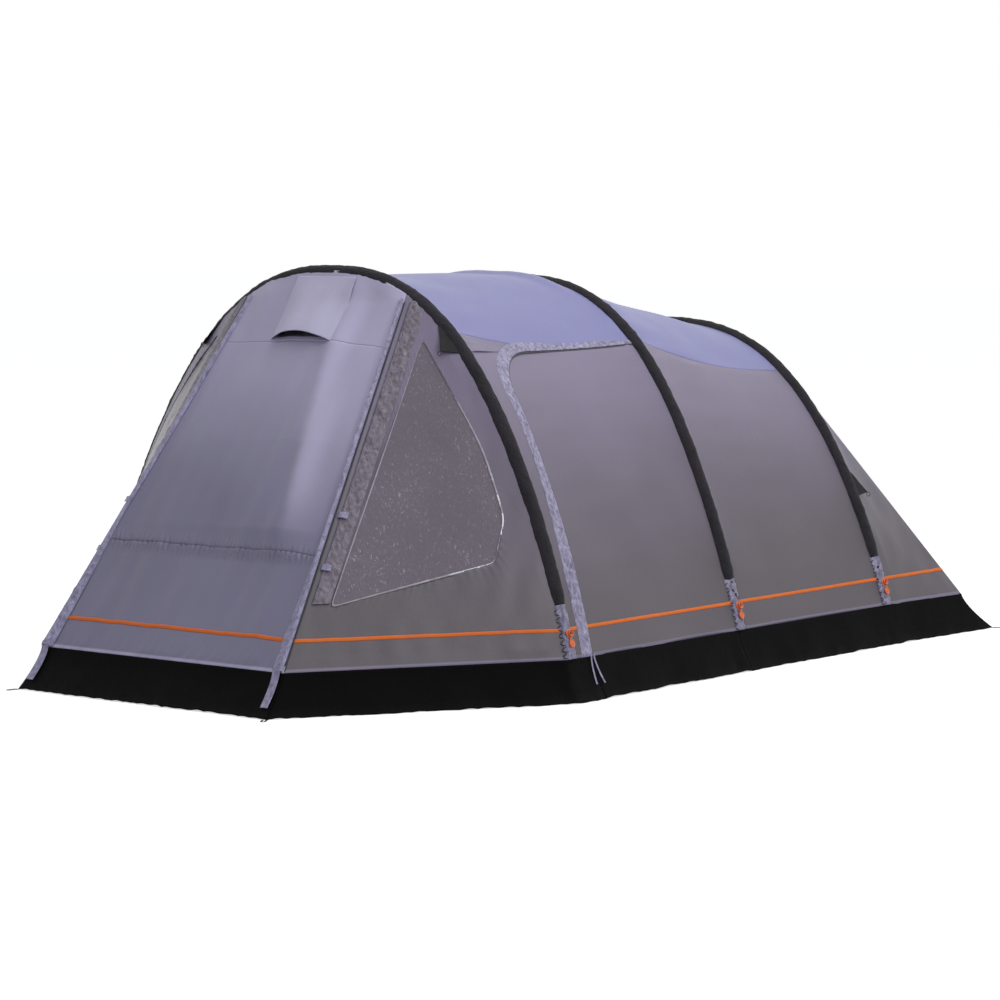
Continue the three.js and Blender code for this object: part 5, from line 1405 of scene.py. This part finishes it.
inner_cloth = inner_cloth_finish("bedroom cloth", (168, 165, 172), (192, 189, 194))
ground_cloth = inner_cloth_finish("groundsheet", (62, 64, 70), (84, 86, 92))
HANG = BEAM_SINK + SLEEVE_HALF + 0.0008  # a beam's far side, where the bedroom hangs
BACK_HALF, BACK_Y = 1.440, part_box("bedroom_liner")[1][1]  # the bedroom's rear wall at the ground
bed_y, under_rear = MIDDLE["y"] + 0.0015, REAR["y"] - 0.019


def inner_line(arch, stop, y):
    """The line below an arch's beam, in the plane at `y` and no lower than the ground."""
    points, out = arch_line(arch, stop)
    points = points - out * HANG
    points[..., 1] = y
    points[..., 2] = np.maximum(points[..., 2], 0.0)
    return points


stops = np.linspace(0, LAST, 220)[None, :]
span = np.linspace(0, 1, 80)[:, None]
near, far = inner_line(MIDDLE, stops, bed_y), inner_line(REAR, stops, under_rear)
share = np.clip((stops - 1) / (LAST - 2), 0, 1)
back = np.stack([BACK_HALF * (1 - 2 * share), np.full_like(share, BACK_Y - 0.002), 0 * share], -1)
tunnel = near * (1 - span)[..., None] + far * span[..., None]
end = far * (1 - span[1:, :, None]) + back * span[1:, :, None]
plain = np.concatenate([tunnel, end])
out = outward_of(plain)
rest = np.clip(np.sin(math.pi * np.concatenate([span, span[1:]])), 0, 1) * np.clip(plain[..., 2] / 0.1, 0, 1)
relief = -0.012 * rest + 0.003 * ripple(plain, 0.3, 96) * rest - 0.0016
liner = surface("bedroom_liner_cloth", plain + out * relief[..., None], thick=0.0010)
dress(liner, inner_cloth, "inner_fabric", "tent", "bedroom_liner")
cut(plain)

x, y = np.linspace(-1, 1, 160)[None, :], np.linspace(0, 1, 110)[:, None]
floor_y = bed_y + y * (BACK_Y - 0.010 - bed_y)
half = np.interp(floor_y, [bed_y, under_rear, BACK_Y - 0.010],
                 [HALF - HANG - 0.0035, HALF - HANG - 0.0035, BACK_HALF - 0.0035])
plain = np.stack([x * half, floor_y + 0 * x, 0 * x * y], -1)
plain[..., 2] = 0.0016 + 0.0004 * ripple(plain, 0.3, 97)
bed_floor = surface("bedroom_floor_sheet", plain, inside=(0, 1, -1), thick=0.0008)
dress(bed_floor, ground_cloth, "floor_sheet", "tent", "bedroom_floor")
cut(plain)
(_, low, _), (half, high, _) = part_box("groundsheet")
plain = np.stack([x * half + 0 * y, low + (high - low) * y + 0 * x, 0 * x * y], -1)
plain[..., 2] = 0.0016 + 0.0004 * ripple(plain, 0.25, 98)
ground = surface("groundsheet_sheet", plain, inside=(0, 0, -1), thick=0.0010)
dress(ground, ground_cloth, "floor_sheet", "tent", "groundsheet")
cut(plain)

DOOR_MIDDLE, DOOR_HALF, DOOR_SILL, DOOR_HEAD, DOOR_ROUND = 0.250, 0.430, 0.120, 1.500, 0.220
centre = np.array([DOOR_MIDDLE, (DOOR_SILL + DOOR_HEAD) / 2])


def door_outline(inset):
    """The bedroom door's D: straight sill and sides, and two round upper corners."""
    half, sill, head, corner = DOOR_HALF - inset, DOOR_SILL + inset, DOOR_HEAD - inset, DOOR_ROUND - inset
    turn = np.linspace(0, math.pi / 2, 24)
    arc = np.stack([half - corner + corner * np.cos(turn), head - corner + corner * np.sin(turn)], -1)
    path = np.concatenate([[[-half, sill], [half, sill]], arc, (arc * (-1, 1))[::-1]])
    return resampled(path + (DOOR_MIDDLE, 0.0), 400)


def at_angles(path, angles):
    """Where rays from the door's middle at the given angles meet a closed path that lies round it."""
    spoke = path - centre
    bearing, reach = np.arctan2(spoke[:, 1], spoke[:, 0]), np.linalg.norm(spoke, axis=1)
    away = np.interp(angles, bearing, reach, period=2 * math.pi)
    return centre + away[:, None] * np.stack([np.cos(angles), np.sin(angles)], -1)


def bedroom_sheet(node, flat, size, seed, calm, body):
    """A sheet of bedroom cloth in the middle arch's plane, drawn by x and z, with slow waves along y."""
    plain = np.insert(flat, 1, MIDDLE["y"] + 0.0005, axis=-1)
    wave = 0.004 * ripple(plain, size, seed) * calm
    sheet = surface(f"{node}_cloth", plain + wave[..., None] * (0, 1, 0), around=True, inside=(0, 1.0, 0.5),
                    thick=0.0009)
    dress(sheet, inner_cloth, "inner_fabric", body, node)
    return sheet


rim = resampled(inner_line(MIDDLE, np.linspace(0, LAST, 400), 0.0)[:, [0, 2]], 700)
opening = at_angles(door_outline(0.0), np.arctan2(rim[:, 1] - centre[1], rim[:, 0] - centre[0]))
share = np.linspace(0, 1, 46)[:, None, None]
flat = opening[None] * (1 - share) + rim[None] * share
screen = bedroom_sheet("bedroom_front", flat, 0.35, 99, np.sin(math.pi * share[..., 0]), "tent")
share = np.linspace(0, 1, 60)[:, None, None]
flat = centre * (1 - share) + door_outline(0.0012)[None] * share
calm = np.sin(math.pi * share[..., 0] ** 2)
leaf = bedroom_sheet("bedroom_door", flat, 0.3, 100, calm, "bedroom_door_panel")


# ---------------------------------------------------------------- floor, light and the size note
# A white studio floor that keeps the tent's soft shadow, two wide soft lights above and to the right of the
# tent, and a plain sky.
def split_by_ray(tree, hidden, shown, output):
    """Joins two shaders: `shown` to the eye, also in reflections and through clear film, and `hidden` to all
    other light."""
    make = tree.nodes.new
    ray, mix, either, eye = (make(f"ShaderNode{kind}") for kind in ("LightPath", "MixShader", "Math", "Math"))
    either.operation = eye.operation = "MAXIMUM"
    for start, end in ((ray.outputs["Is Camera Ray"], either.inputs[0]),
                       (ray.outputs["Is Glossy Ray"], either.inputs[1]),
                       (either.outputs[0], eye.inputs[0]),
                       (ray.outputs["Is Transmission Ray"], eye.inputs[1]),
                       (eye.outputs[0], mix.inputs["Fac"]), (hidden.outputs[0], mix.inputs[1]),
                       (shown.outputs[0], mix.inputs[2]), (mix.outputs[0], make(output).inputs["Surface"])):
        tree.links.new(start, end)


def studio_floor():
    """White paper to the eye and in reflections, where only the tent's shadow darkens it, and plain grey to
    the light that bounces off it."""
    material = bpy.data.materials.new("studio floor")
    material.use_nodes = True
    tree = material.node_tree
    tree.nodes.clear()
    paper, grey, glow, lit = (tree.nodes.new(f"ShaderNode{kind}") for kind in (
        "BsdfDiffuse", "BsdfDiffuse", "Emission", "AddShader"))
    paper.inputs["Color"].default_value = (0.80, 0.80, 0.80, 1)
    grey.inputs["Color"].default_value = (0.40, 0.40, 0.41, 1)
    glow.inputs["Strength"].default_value = 0.66
    tree.links.new(paper.outputs[0], lit.inputs[0])
    tree.links.new(glow.outputs[0], lit.inputs[1])
    split_by_ray(tree, grey, lit, "ShaderNodeOutputMaterial")
    return material


bpy.ops.mesh.primitive_plane_add(size=120.0, location=(0, 0, -0.002))
floor = bpy.context.object
floor.name = "studio_floor"
floor.data.materials.append(studio_floor())

world = bpy.data.worlds.new("studio")
bpy.context.scene.world = world
world.use_nodes = True
world.node_tree.nodes.clear()
sky, paper = (world.node_tree.nodes.new("ShaderNodeBackground") for _ in range(2))
sky.inputs["Color"].default_value, sky.inputs["Strength"].default_value = (0.95, 0.96, 1.0, 1), 0.44
paper.inputs["Color"].default_value, paper.inputs["Strength"].default_value = (1, 1, 1, 1), 1.0
split_by_ray(world.node_tree, sky, paper, "ShaderNodeOutputWorld")

for name, place, aim, size, power in (("sky light", (3.0, 1.0, 8.5), (0, 0.2, 0.8), 7.0, 310.0),
                                      ("side light", (10.0, -1.2, 5.0), (0, -0.6, 0.9), 3.0, 230.0)):
    lamp = bpy.data.objects.new(name, bpy.data.lights.new(name, "AREA"))
    bpy.context.scene.collection.objects.link(lamp)
    lamp.data.shape, lamp.data.size, lamp.data.energy = "SQUARE", size, power
    way = np.array(aim) - np.array(place)
    lamp.location = place
    lamp.rotation_euler = (math.atan2(math.hypot(way[0], way[1]), -way[2]), 0.0, math.atan2(-way[0], way[1]))

bpy.context.scene.view_settings.view_transform = "Standard"
